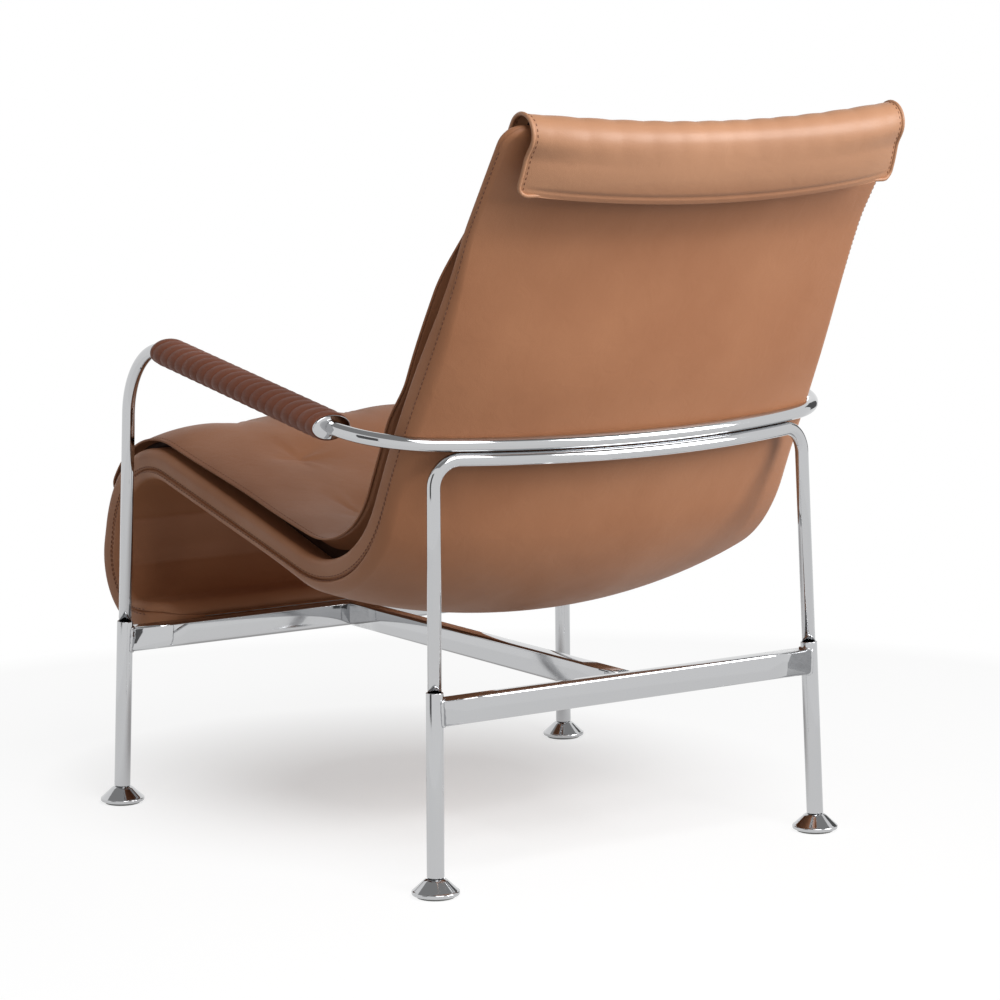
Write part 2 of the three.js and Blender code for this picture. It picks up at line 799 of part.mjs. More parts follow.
function shellLine() {
  const headBreak = new THREE.Vector3(0, backLine(headBreakHeight), headBreakHeight);
  const top = new THREE.Vector3(0, headBreak.y + headLeanShare * headBreakDrop, shellTopHeight);
  const line = [
    new THREE.Vector3(0, shellEndY, shellCurlHeight),
    new THREE.Vector3(0, curlCornerY, shellCurlHeight),
    new THREE.Vector3(0, seatCornerY, seatCornerHeight),
    bucketCorner(),
    headBreak,
    top,
  ];
  const radii = [shellCurlRadius, seatFrontRadius, bucketRadius, headBreakRadius];
  return measure(roundedPath(line, radii, shellBendSteps));
}

function measure(stations) {
  let total = 0;
  stations.forEach((station, i) => {
    if (i > 0) {
      total += station.point.distanceTo(stations[i - 1].point);
    }
    station.run = total;
  });
  return stations;
}

const sideLine = shellLine();
const sideLength = sideLine[sideLine.length - 1].run;

// Run at the start and at the end of each bend of the side line
function bendRun(bend, atEnd) {
  const before = shellBendSteps.slice(0, bend).reduce((sum, steps) => sum + steps + 1, 1);
  return sideLine[before + (atEnd ? shellBendSteps[bend] : 0)].run;
}

// Run at a height under the shell's top
function runUnderTop(drop) {
  return sideLength - drop * Math.sqrt(1 + backLeanShare ** 2);
}

const kneeStart = bendRun(1, false);
const kneeEnd = bendRun(1, true);
const bucketStart = bendRun(2, false);
const bucketEnd = bendRun(2, true);
const bucketMiddle = (bucketStart + bucketEnd) / 2;
const bucketLow = bucketStart + bucketRadius * Math.atan(seatFallShare);
const narrowStart = runUnderTop(shellNarrowDrop);
const headStart = bendRun(3, true);

function smooth(value) {
  const t = Math.min(1, Math.max(0, value));
  return t * t * (3 - 2 * t);
}

// A place on the side line: its point, the way it runs and the way out of the sitter's side
function sideStation(run) {
  const held = Math.min(Math.max(run, 0), sideLength);
  let i = 0;
  while (i < sideLine.length - 2 && sideLine[i + 1].run < held) {
    i += 1;
  }
  const a = sideLine[i];
  const b = sideLine[i + 1];
  const t = (held - a.run) / (b.run - a.run);
  const along = new THREE.Vector3().lerpVectors(a.tangent, b.tangent, t).normalize();
  return {
    run: held,
    point: new THREE.Vector3().lerpVectors(a.point, b.point, t),
    along,
    outward: new THREE.Vector3(0, along.z, -along.y),
    bow: bowAt(held),
  };
}

// The bow grows from the knee to the bottom of the seat and fades again to the top
function bowAt(run) {
  if (run < bucketLow) {
    return shellBowBucket * smooth((run - kneeEnd) / (bucketLow - kneeEnd));
  }
  if (run < bucketEnd) {
    return shellBowBucket + (shellBow - shellBowBucket) * smooth((run - bucketLow) / (bucketEnd - bucketLow));
  }
  return shellBow + (shellBowTop - shellBow) * smooth((run - bucketEnd) / (sideLength - bucketEnd));
}

function shellHalf(run) {
  const thick = runUnderTop(shellThickDrop);
  const toHead = smooth((run - thick) / (runUnderTop(shellThinDrop) - thick));
  return (shellThickness + (shellHeadThickness - shellThickness) * toHead) / 2;
}

// Distance over which a rounded outline corner has drawn in
function cornerDraw(distance, radius) {
  if (distance >= radius) {
    return 0;
  }
  return radius - Math.sqrt(radius ** 2 - (radius - distance) ** 2);
}

function shellHalfWidth(run) {
  const top = cornerDraw(sideLength - run, shellTopCornerRadius);
  const front = cornerDraw(run, shellFrontCornerRadius);
  const headward = smooth((run - narrowStart) / (sideLength - narrowStart));
  return (shellWidth + (shellHeadWidth - shellWidth) * headward) / 2 - top - front;
}

function endRounding(run) {
  const nearest = Math.min(run, sideLength - run);
  const t = Math.min(1, nearest / shellEndRounding);
  return Math.sqrt(1 - (1 - t) ** 2 * 0.84);
}

// A point of the shell: x across, outward from the middle skin
function shellPoint(station, x, offset) {
  const share = x / (shellWidth / 2);
  return station.point.clone()
    .addScaledVector(station.outward, station.bow * (1 - share ** 2) + offset)
    .setX(x);
}

function between(from, to, count) {
  return Array.from({ length: count - 1 }, (_, i) => from + ((to - from) * (i + 1)) / count);
}

function sorted(runs, spacing) {
  return runs.sort((a, b) => a - b).filter((run, i, all) => i === 0 || run - all[i - 1] > spacing);
}

const shellStops = sorted([
  ...sideLine.map((station) => station.run),
  shellEndRounding / 4,
  shellEndRounding,
  shellFrontCornerRadius,
  ...between(kneeEnd, bucketStart, 3),
  ...between(bucketEnd, headStart, 4),
  ...between(headStart, sideLength, 2),
  sideLength - shellTopCornerRadius,
  sideLength - shellEndRounding,
  sideLength - shellEndRounding / 4,
], seatGap);

const faceShares = [-1, -2 / 3, -1 / 3, 0, 1 / 3, 2 / 3, 1];

// Outside of one half of the upholstery, from edge seam to edge seam
function coverOutside(run, way, grow = 0) {
  const station = sideStation(run);
  const half = shellHalf(run) * endRounding(run);
  const width = shellHalfWidth(run) + grow;
  const edge = Math.min(shellEdgeRadius, half * edgeShare);
  const fall = way > 0 ? shellEdgeFall * Math.min(1, station.bow / shellBow) : 0;
  const reach = (x) => half + grow - fall * (x / (shellWidth / 2)) ** 6;
  const flat = width - edge;
  const shape = [
    [-width, seatGap / 2],
    [-width - shellSideSwell, reach(flat) - edge],
    ...faceShares.map((share) => [share * flat, reach(share * flat)]),
    [width + shellSideSwell, reach(flat) - edge],
    [width, seatGap / 2],
  ];
  return shape.map(([x, offset]) => shellPoint(station, x, way * offset));
}

// The two halves meet in the middle of the shell, where a pocket holds the core
function shellCover(way) {
  const rings = shellStops.map((run) => {
    const outside = coverOutside(run, way);
    const station = sideStation(run);
    const width = shellHalfWidth(run);
    const last = (outside.length - 1) / 2;
    const inside = outside.map((point, i) => shellPoint(
      station, ((width - shellEdgeRadius / 2) * (i - last)) / last, (way * seatGap) / 2,
    ));
    return [...outside, ...inside.reverse()];
  });
  return solidOf(loft(rings)).subtract(shellCore(seatGap));
}

// Stops half-way between those of the upholstery
function halfway(stops) {
  return stops.slice(1).map((run, i) => (run + stops[i]) / 2);
}

function shellCore(grow = 0) {
  const start = coreEndInset;
  const finish = sideLength - coreEndInset;
  const inner = halfway(shellStops)
    .filter((run) => run > start + coreThickness && run < finish - coreThickness);
  const rings = [start - grow, ...inner, finish + grow].map((run) => {
    const station = sideStation(run);
    const width = shellHalfWidth(run) - coreInset + grow;
    const half = coreThickness / 2 + grow;
    const front = faceShares.map((share) => shellPoint(station, share * width, -half));
    const rear = faceShares.map((share) => shellPoint(station, share * width, half));
    return [...front, ...rear.reverse()];
  });
  return solidOf(loft(rings));
}

// The face that the loose pad lies on, as a solid to cut it with
function shellSpace() {
  const rings = shellStops.map((run) => [
    ...coverOutside(run, -1, seatGap),
    ...coverOutside(run, 1, seatGap).reverse(),
  ]);
  const past = sideStation(sideLength).along.multiplyScalar(seatGap);
  rings.push(rings[rings.length - 1].map((point) => point.clone().add(past)));
  return solidOf(loft(rings));
}

// Fixings: studs from the hoop into the core, and an angle with two screws at the front rail
function studEnds(side) {
  const x = (side * studSpacing) / 2;
  const y = bowCentre + Math.sqrt(hoopBowRadius ** 2 - x ** 2);
  const tubeCentre = new THREE.Vector3(x, y, hoopHeight(y));
  const inward = new THREE.Vector3(0, -backCos, backCos * backLeanShare);
  const from = tubeCentre.clone().addScaledVector(inward, upperTubeRadius + seatGap);
  const to = tubeCentre.clone().addScaledVector(inward, upperTubeRadius + shellThickness / 2);
  return { from, to, inward };
}

function studHole(side) {
  const { from, to, inward } = studEnds(side);
  return solidOf(cylinderBetween(
    from.clone().addScaledVector(inward, -cutOverrun),
    to.clone().addScaledVector(inward, seatGap),
    studDiameter / 2 + holeClearance,
    boreSides,
  ));
}

function backStud(side) {
  const { from, to, inward } = studEnds(side);
  const start = from.clone().addScaledVector(inward, -upperTubeRadius / 2);
  return solidOf(cylinderBetween(start, to, studDiameter / 2, boreSides)).subtract(hoopSpace);
}

const carrierFace = -legDepthSpacing / 2 - railThickness / 2 - seatGap;
const carrierLevel = shellCurlHeight - shellThickness / 2 - seatGap;

function carrierAngle() {
  const rise = railTop - carrierLevel + carrierThickness;
  const profile = new THREE.Shape([
    new THREE.Vector2(0, 0),
    new THREE.Vector2(0, rise),
    new THREE.Vector2(-carrierThickness, rise),
    new THREE.Vector2(-carrierThickness, carrierThickness),
    new THREE.Vector2(-carrierLip, carrierThickness),
    new THREE.Vector2(-carrierLip, 0),
  ]);
  const bar = new THREE.ExtrudeGeometry(profile, { depth: carrierLength, bevelEnabled: false });
  bar.translate(0, 0, -carrierLength / 2);
  bar.rotateX(Math.PI / 2);
  bar.rotateZ(Math.PI / 2);
  bar.translate(0, carrierFace, carrierLevel - carrierThickness);
  return bar;
}

function carrierScrewPlace(side) {
  const y = carrierFace - carrierLip / 2 - carrierThickness;
  return new THREE.Vector3((side * carrierScrewSpacing) / 2, y, carrierLevel);
}

function carrierScrew(side) {
  const place = carrierScrewPlace(side);
  const reach = shellThickness / 2 + seatGap;
  const profile = [
    [0, -carrierThickness - seatGap - screwHeadHeight],
    [screwHeadDiameter / 2, -carrierThickness - seatGap - screwHeadHeight],
    [screwHeadDiameter / 2, -carrierThickness - seatGap],
    [screwDiameter / 2, -carrierThickness - seatGap],
    [screwDiameter / 2, reach],
    [0, reach],
  ];
  const screw = turned(profile, hiddenSides);
  screw.translate(place.x, place.y, place.z);
  return screw;
}

function carrierHole(side, from, to) {
  const place = carrierScrewPlace(side);
  return solidOf(cylinderBetween(
    place.clone().setZ(place.z + from),
    place.clone().setZ(place.z + to),
    screwDiameter / 2 + holeClearance,
    boreSides,
  ));
}

let rearCover = shellCover(1).subtract(hoopSpace);
let frontCover = shellCover(-1);
let core = shellCore();
let carrier = solidOf(carrierAngle());
for (const side of [-1, 1]) {
  const deep = shellThickness / 2 + 2 * seatGap;
  rearCover = rearCover.subtract(studHole(side));
  frontCover = frontCover.subtract(carrierHole(side, -cutOverrun, deep));
  core = core.subtract(studHole(side)).subtract(carrierHole(side, 0, deep));
  carrier = carrier.subtract(carrierHole(side, -carrierThickness - cutOverrun, cutOverrun));
}
add('shell_rear_cover', geometryOf(rearCover), shellLeather);
add('shell_front_cover', geometryOf(frontCover), shellLeather);
add('shell_core', geometryOf(core), plywood);
add('shell_carrier_angle', geometryOf(carrier), zincSteel);
for (const [name, side] of [['left', 1], ['right', -1]]) {
  add(`carrier_screw_${name}`, carrierScrew(side), zincSteel);
  add(`back_stud_${name}`, geometryOf(backStud(side)), zincSteel);
}

// Loose pad: over the knee, along the seat, up the back, over the top and down as a head flap
function kneeRunAt(angle) {
  const turnTotal = Math.PI / 2 - frontLean + Math.atan(seatFallShare);
  const arc = kneeEnd - kneeStart;
  return kneeStart + arc * ((THREE.MathUtils.degToRad(angle) - frontLean) / turnTotal);
}

const padStart = kneeRunAt(padFrontAngle);
const foldRun = sideLength - foldDepth;
const padHeights = [
  { run: padStart, edge: padEndHeight, crown: padEndHeight },
  { run: padStart + padTuckIn, edge: padEdgeFront, crown: padCrownFront },
  { run: (padStart + kneeEnd) / 2, edge: padEdgeKnee, crown: padCrownKnee },
  { run: kneeEnd, edge: padEdgeCrest, crown: padCrownCrest },
  { run: (kneeEnd + bucketMiddle) / 2, edge: padEdgeSeat, crown: padCrownSeat },
  { run: bucketMiddle, edge: padEdgeBucket, crown: padCrownSeat },
  { run: bucketEnd + padDeepShare * (headStart - bucketEnd), edge: padEdgeBucket, crown: padCrownBack },
  { run: bucketEnd + padEasedShare * (headStart - bucketEnd), edge: padEdgeBack, crown: padCrownBack },
  { run: headStart, edge: padEdgeHead, crown: padCrownBack },
  { run: foldRun, edge: padEdgeTop, crown: padCrownTop },
];

function padHeight(run) {
  let i = 0;
  while (i < padHeights.length - 2 && padHeights[i + 1].run < run) {
    i += 1;
  }
  const a = padHeights[i];
  const b = padHeights[i + 1];
  const t = smooth((run - a.run) / (b.run - a.run));
  return { edge: a.edge + (b.edge - a.edge) * t, crown: a.crown + (b.crown - a.crown) * t };
}

function padHalfWidth(run) {
  const narrow = runUnderTop(padNarrowDrop);
  const headward = smooth((run - narrow) / (runUnderTop(padHeadDrop) - narrow));
  const front = cornerDraw(run - padStart, shellFrontCornerRadius / 2);
  return (padWidth + (padHeadWidth - padWidth) * headward) / 2 - front;
}

const tuftRows = Math.floor((headStart - padStart - tuftMargin) / tuftSpacing);

function tuftDip(run, x) {
  let dip = 0;
  for (let row = 0; row <= tuftRows; row += 1) {
    for (let column = 0; column < tuftColumns; column += 1) {
      const atRun = padStart + tuftMargin + row * tuftSpacing;
      const atX = (column - (tuftColumns - 1) / 2) * tuftSpacing;
      const away = ((run - atRun) ** 2 + (x - atX) ** 2) / tuftRadius ** 2;
      dip += tuftDepth * Math.exp(-away);
    }
  }
  return dip;
}

const padShares = [-1, -0.93, -0.78, -0.55, -0.28, 0, 0.28, 0.55, 0.78, 0.93, 1];

// One ring of the pad. Direction is the way the pad stands off the shell there.
function padRing(station, direction, base, height, width, dip) {
  const place = (x, lift) => {
    const share = x / (shellWidth / 2);
    return station.point.clone()
      .addScaledVector(station.outward, station.bow * (1 - share ** 2))
      .addScaledVector(direction, base + lift)
      .setX(x);
  };
  const top = padShares.map((share) => {
    const x = share * width;
    const dome = height.crown * (1 - share ** padCrownPower) - (Math.abs(share) < 1 ? dip(x) : 0);
    return place(x, padBury + height.edge + dome);
  });
  const under = padShares.map((share) => place(share * (width - Math.min(padTuckIn, height.edge)), 0));
  return [...top, ...under.reverse()];
}

const padStops = sorted([
  padStart,
  padStart + padTuckIn / 2,
  padStart + padTuckIn,
  ...halfway(shellStops).filter((run) => run > padStart + 2 * padTuckIn && run < bucketEnd),
  ...between(kneeEnd, bucketStart, 5),
  ...between(bucketEnd, headStart, 7),
  ...between(headStart, foldRun, 3),
  foldRun,
], padTuckIn / 3);

function loosePad() {
  const rings = padStops.map((run) => {
    const station = sideStation(run);
    const inward = station.outward.clone().negate();
    const base = shellHalf(run) - padBury;
    return padRing(station, inward, base, padHeight(run), padHalfWidth(run), (x) => tuftDip(run, x));
  });
  const fold = sideStation(foldRun);
  const foldRadius = shellHalf(foldRun) + seatGap - padBury;
  const foldTurn = Math.PI - THREE.MathUtils.degToRad(flapSpread);
  const foldWay = (angle) => fold.along.clone().multiplyScalar(Math.sin(angle))
    .addScaledVector(fold.outward, -Math.cos(angle));
  for (let i = 1; i <= foldSteps; i += 1) {
    const share = i / foldSteps;
    const height = { edge: padEdgeTop, crown: padCrownTop };
    const base = foldRadius + foldLift * Math.sin(Math.PI * share);
    rings.push(padRing(fold, foldWay(foldTurn * share), base, height, padHeadWidth / 2, () => 0));
  }
  const flapOut = foldWay(foldTurn);
  const flapDown = foldWay(foldTurn + Math.PI / 2);
  for (const share of flapShares) {
    const root = fold.point.clone().addScaledVector(flapDown, flapLength * share);
    const grown = smooth(3 * share);
    const swell = Math.sin(Math.PI * Math.min(1, share + flapShares[0]));
    const edge = padEdgeTop + (flapEdge - padEdgeTop) * grown;
    const crown = padCrownTop + (flapCrown - padCrownTop) * swell;
    const height = share < 1 ? { edge, crown } : { edge: padEndHeight, crown: padEndHeight / 2 };
    const width = (padHeadWidth + flapFlare * share) / 2;
    rings.push(padRing({ ...fold, point: root }, flapOut, foldRadius, height, width, () => 0));
  }
  return geometryOf(solidOf(loft(rings)).subtract(shellSpace()));
}

add('loose_pad', loosePad(), padLeather);

// The frame's origin is set under the middle of the whole chair
const extent = new THREE.Box3().setFromObject(chair);
const middleY = (extent.min.y + extent.max.y) / 2;
for (const mesh of chair.children) {
  mesh.position.y -= middleY;
}

export default chair;
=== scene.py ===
import math
import bpy
import numpy as np
from mathutils import Matrix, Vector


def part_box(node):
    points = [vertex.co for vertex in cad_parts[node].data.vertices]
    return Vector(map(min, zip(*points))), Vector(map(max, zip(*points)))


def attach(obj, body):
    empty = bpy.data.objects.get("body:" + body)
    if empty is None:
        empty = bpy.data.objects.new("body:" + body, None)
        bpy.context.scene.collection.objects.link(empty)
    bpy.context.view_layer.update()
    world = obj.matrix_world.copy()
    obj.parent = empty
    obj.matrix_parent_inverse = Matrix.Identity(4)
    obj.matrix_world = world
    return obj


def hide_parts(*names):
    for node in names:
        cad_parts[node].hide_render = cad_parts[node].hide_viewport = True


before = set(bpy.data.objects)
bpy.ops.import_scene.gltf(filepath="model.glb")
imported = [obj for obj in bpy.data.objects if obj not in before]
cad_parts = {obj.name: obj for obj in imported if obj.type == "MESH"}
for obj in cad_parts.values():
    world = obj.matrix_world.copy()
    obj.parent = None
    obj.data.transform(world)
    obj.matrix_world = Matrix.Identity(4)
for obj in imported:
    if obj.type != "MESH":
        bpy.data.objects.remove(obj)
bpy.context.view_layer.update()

scene = bpy.context.scene
mm = 0.001
rootBody = "chair_frame"

# The chair is built round the middle of its legs; the CAD origin is under the middle of the whole chair.
beamLow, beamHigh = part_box("centre_beam")
originY = (beamLow[1] + beamHigh[1]) / 2


def unit(v):
    v = np.asarray(v, float)
    return v / np.maximum(np.linalg.norm(v, axis=-1, keepdims=True), 1e-12)


# 0 below t = 0, 1 above t = 1, and 3 t^2 - 2 t^3 in between.
def smoothStep(t):
    t = np.clip(t, 0.0, 1.0)
    return t * t * (3 - 2 * t)


def between(first, last, share):
    return first + (last - first) * share


# Every piece is worked out in millimetres round the legs, then placed in metres in the CAD frame.
def placed(points):
    out = np.asarray(points, float).reshape(-1, 3) * mm
    out[:, 1] += originY
    return out


def linked(name, data):
    obj = bpy.data.objects.new(name, data)
    scene.collection.objects.link(obj)
    return obj


def newObject(name, points, faces, material):
    mesh = bpy.data.meshes.new(name)
    verts = placed(points)
    faces = [np.asarray(f, np.int32) for f in faces]
    sizes = np.concatenate([np.full(len(f), f.shape[1], np.int32) for f in faces])
    mesh.vertices.add(len(verts))
    mesh.vertices.foreach_set("co", verts.astype(np.float32).ravel())
    mesh.loops.add(int(sizes.sum()))
    mesh.loops.foreach_set("vertex_index", np.concatenate([f.ravel() for f in faces]))
    mesh.polygons.add(len(sizes))
    mesh.polygons.foreach_set("loop_start", (np.cumsum(sizes) - sizes).astype(np.int32))
    mesh.polygons.foreach_set("use_smooth", np.ones(len(sizes), bool))
    mesh.update(calc_edges=True)
    mesh.validate()
    mesh.materials.append(material)
    return linked(name, mesh)


# Quads over a grid of rows x columns; the columns close on themselves, and the rows may too.
def gridFaces(rows, columns, closeRows=False):
    i = np.arange(rows if closeRows else rows - 1)[:, None]
    j = np.arange(columns)[None]
    nextI, nextJ = (i + 1) % rows, (j + 1) % columns
    quads = np.stack([i * columns + j, i * columns + nextJ, nextI * columns + nextJ, nextI * columns + j], -1)
    return quads.reshape(-1, 4)


# Six times the volume inside the faces: the sum of a . (b x c) over their triangles. Negative is inside out.
def signedVolume(points, faces):
    total = 0.0
    for f in faces:
        a = points[f[:, 0]]
        for k in range(1, f.shape[1] - 1):
            total += np.einsum("ij,ij->i", a, np.cross(points[f[:, k]], points[f[:, k + 1]])).sum()
    return total


# Triangles between two chains of points that face each other; a repeated point leaves one triangle out.
def strip(first, second):
    first, second = np.asarray(first), np.asarray(second)
    faces = np.concatenate([np.stack([first[:-1], first[1:], second[1:]], -1),
                            np.stack([first[:-1], second[1:], second[:-1]], -1)])
    same = (faces[:, 0] == faces[:, 1]) | (faces[:, 1] == faces[:, 2]) | (faces[:, 2] == faces[:, 0])
    return faces[~same]


# Rings become a closed skin. Each open end is drawn together to its middle point, or closed straight across
# from one chain of a ring's columns to another.
def skin(name, rings, material, closeRows=False, body=rootBody, across=None):
    rings = np.asarray(rings, float)
    rows, columns = rings.shape[:2]
    points = rings.reshape(-1, 3)
    faces = [gridFaces(rows, columns, closeRows)]
    last = (rows - 1) * columns
    if across:
        cap = strip(*across)
        faces += [cap[:, ::-1], cap + last]
    elif not closeRows:
        j = np.arange(columns)
        nextJ = (j + 1) % columns
        faces.append(np.stack([nextJ, j, np.full(columns, len(points))], -1))
        faces.append(np.stack([last + j, last + nextJ, np.full(columns, len(points) + 1)], -1))
        points = np.concatenate([points, np.stack([rings[0].mean(0), rings[-1].mean(0)])])
    if signedVolume(points, faces) < 0:
        faces = [f[:, ::-1] for f in faces]
    obj = newObject(name, points, faces, material)
    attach(obj, body)
    return obj


def fullTurn(count):
    return np.linspace(0, 2 * np.pi, count, endpoint=False)


# Two directions across a path: "side" starts level and is carried along with the least twist.
def pathFrames(points):
    along = unit(np.gradient(points, axis=0))
    side = np.zeros_like(points)
    start = np.cross(along[0], [0, 0, 1.0])
    side[0] = unit(start if np.linalg.norm(start) >= 1e-3 else [1.0, 0, 0])
    for k in range(1, len(points)):
        side[k] = unit(side[k - 1] - along[k] * np.dot(side[k - 1], along[k]))
    return side, np.cross(along, side)


# A round tube: point of the path + radius * (side * cos + lift * sin); the radius may change along the way.
def tubeRings(points, radius, sides):
    side, lift = pathFrames(points)
    angle = fullTurn(sides)
    radius = np.broadcast_to(np.asarray(radius, float), (len(points),))
    circle = side[:, None] * np.cos(angle)[None, :, None] + lift[:, None] * np.sin(angle)[None, :, None]
    return points[:, None] + circle * radius[:, None, None]


# Straight runs between corners, each corner rounded by an arc of its own radius.
def roundedPath(corners, radii, steps):
    corners = [np.asarray(c, float) for c in corners]
    out = [corners[0]]
    for before, corner, after, radius in zip(corners, corners[1:], corners[2:], radii):
        arriving, leaving = unit(corner - before), unit(after - corner)
        turn = math.acos(float(np.clip(np.dot(arriving, leaving), -1, 1)))
        reach = radius * math.tan(turn / 2)
        centre = corner + unit(leaving - arriving) * radius / math.cos(turn / 2)
        start = corner - arriving * reach - centre
        angle = np.linspace(0, turn, steps + 1)[:, None]
        out.extend(centre + start * np.cos(angle) + arriving * radius * np.sin(angle))  # start turns to arriving
    out.append(corners[-1])
    return np.array(out)


def lengthAlong(points):
    return np.concatenate([[0], np.cumsum(np.linalg.norm(np.diff(points, axis=0), axis=1))])


# Each coordinate of a path, read off at the wanted lengths.
def readOff(wanted, run, points):
    return np.stack([np.interp(wanted, run, points[:, k]) for k in range(3)], -1)


def resample(points, step):
    run = lengthAlong(points)
    count = max(2, int(round(run[-1] / step)) + 1)
    return readOff(np.linspace(0, run[-1], count), run, points)


def newGroup(name, inputs, outputs):
    tree = bpy.data.node_groups.new(name, "ShaderNodeTree")
    for label, kind, value in inputs:
        tree.interface.new_socket(label, in_out="INPUT", socket_type=kind).default_value = value
    for label, kind in outputs:
        tree.interface.new_socket(label, in_out="OUTPUT", socket_type=kind)
    return tree, tree.nodes.new("NodeGroupInput"), tree.nodes.new("NodeGroupOutput")


# A node with its settings; a name that starts with in_ is one of its inputs.
def node(tree, kind, **values):
    made = tree.nodes.new(kind)
    for key, value in values.items():
        if key.startswith("in_"):
            made.inputs[key[3:].replace("_", " ")].default_value = value
        else:
            setattr(made, key, value)
    return made


# Links an output to the socket, or sets the socket's own value.
def feed(tree, socket, value):
    if hasattr(value, "is_linked"):
        tree.links.new(value, socket)
    else:
        socket.default_value = value


def mapRange(tree, source, low, high, toLow, toHigh):
    made = node(tree, "ShaderNodeMapRange")
    labels = ("Value", "From Min", "From Max", "To Min", "To Max")
    for label, value in zip(labels, (source, low, high, toLow, toHigh)):
        feed(tree, made.inputs[label], value)
    return made.outputs["Result"]


def combine(tree, operation, first, second):
    made = node(tree, "ShaderNodeMath", operation=operation)
    feed(tree, made.inputs[0], first)
    feed(tree, made.inputs[1], second)
    return made.outputs[0]


def mixColour(tree, factor, first, second):
    made = node(tree, "ShaderNodeMix", data_type="RGBA", blend_type="MIX")
    for socket, value in ((made.inputs[0], factor), (made.inputs[6], first), (made.inputs[7], second)):
        feed(tree, socket, value)
    return made.outputs[2]


# Leather: pebbled grain from cells, soft creases and cloudy colour from noise, and darker pores.
def leatherGrainGroup():
    tree, inside, outside = newGroup("leatherGrain", [
        ("Colour", "NodeSocketColor", (0.5, 0.3, 0.2, 1)),
        ("Dark Colour", "NodeSocketColor", (0.3, 0.2, 0.1, 1)),
        ("Grain Size", "NodeSocketFloat", 900.0),
        ("Cloud Size", "NodeSocketFloat", 7.0),
        ("Crease Size", "NodeSocketFloat", 45.0),
        ("Roughness Low", "NodeSocketFloat", 0.4),
        ("Roughness High", "NodeSocketFloat", 0.6),
    ], [("Colour", "NodeSocketColor"), ("Roughness", "NodeSocketFloat"), ("Height", "NodeSocketFloat")])
    place = node(tree, "ShaderNodeTexCoord")
    cells = node(tree, "ShaderNodeTexVoronoi", feature="DISTANCE_TO_EDGE")
    clouds = node(tree, "ShaderNodeTexNoise", in_Detail=3.0, in_Roughness=0.55)
    creases = node(tree, "ShaderNodeTexNoise", in_Detail=5.0, in_Roughness=0.6, in_Distortion=0.6)
    pores = node(tree, "ShaderNodeTexNoise", in_Detail=2.0)
    for made, size in ((cells, "Grain Size"), (clouds, "Cloud Size"), (creases, "Crease Size"), (pores, "Grain Size")):
        tree.links.new(place.outputs["Object"], made.inputs["Vector"])
        tree.links.new(inside.outputs[size], made.inputs["Scale"])
    cloudMask = mapRange(tree, clouds.outputs["Fac"], 0.35, 0.68, 0.0, 1.0)
    poreMask = mapRange(tree, pores.outputs["Fac"], 0.3, 0.7, 0.0, 0.35)
    cloudy = mixColour(tree, cloudMask, inside.outputs["Dark Colour"], inside.outputs["Colour"])
    feed(tree, outside.inputs["Colour"], mixColour(tree, poreMask, cloudy, inside.outputs["Dark Colour"]))
    feed(tree, outside.inputs["Height"], combine(
        tree, "ADD", mapRange(tree, cells.outputs["Distance"], 0.0, 0.25, 0.0, 0.22),
        mapRange(tree, creases.outputs["Fac"], 0.3, 0.7, 0.0, 1.0)))
    feed(tree, outside.inputs["Roughness"], mapRange(
        tree, clouds.outputs["Fac"], 0.3, 0.7, inside.outputs["Roughness High"], inside.outputs["Roughness Low"]))
    return tree


# Polished metal: faint wiping marks in the roughness and a breath of colour change.
def polishGroup():
    tree, inside, outside = newGroup("polishMarks", [
        ("Colour", "NodeSocketColor", (0.7, 0.7, 0.7, 1)),
        ("Mark Size", "NodeSocketFloat", 60.0),
        ("Roughness Low", "NodeSocketFloat", 0.05),
        ("Roughness High", "NodeSocketFloat", 0.1),
    ], [("Colour", "NodeSocketColor"), ("Roughness", "NodeSocketFloat")])
    place = node(tree, "ShaderNodeTexCoord")
    marks = node(tree, "ShaderNodeTexNoise", in_Detail=6.0, in_Roughness=0.7)
    feed(tree, marks.inputs["Vector"], place.outputs["Object"])
    feed(tree, marks.inputs["Scale"], inside.outputs["Mark Size"])
    feed(tree, outside.inputs["Roughness"], mapRange(
        tree, marks.outputs["Fac"], 0.35, 0.7, inside.outputs["Roughness Low"], inside.outputs["Roughness High"]))
    faint = mapRange(tree, marks.outputs["Fac"], 0.4, 0.75, 0.0, 0.12)
    feed(tree, outside.inputs["Colour"], mixColour(tree, faint, inside.outputs["Colour"], (0.52, 0.53, 0.55, 1)))
    return tree


leatherGrain = leatherGrainGroup()
polishMarks = polishGroup()


def newMaterial(name):
    material = bpy.data.materials.new(name)
    material.use_nodes = True
    return material, material.node_tree, material.node_tree.nodes["Principled BSDF"]


def useGroup(tree, group, values):
    made = node(tree, "ShaderNodeGroup", node_tree=group)
    for label, value in values.items():
        made.inputs[label].default_value = value
    return made.outputs


# Linear colour from a colour picked on screen, 0 to 255.
def linear(red, green, blue):
    values = [c / 255 for c in (red, green, blue)]
    return tuple(c / 12.92 if c <= 0.04045 else ((c + 0.055) / 1.055) ** 2.4 for c in values) + (1,)


# polish sets both the coat weight and how far the colour goes to the paler tone; that tone, the last entry, is a
# painted highlight.
hide = dict(grainSize=850.0, cloudSize=6.0, creaseSize=38.0, roughLow=0.42, roughHigh=0.58, relief=0.0012,
            coatRough=0.35, polish=0.34, highlightAndCoatReach=0.04, polished=(206, 160, 124))
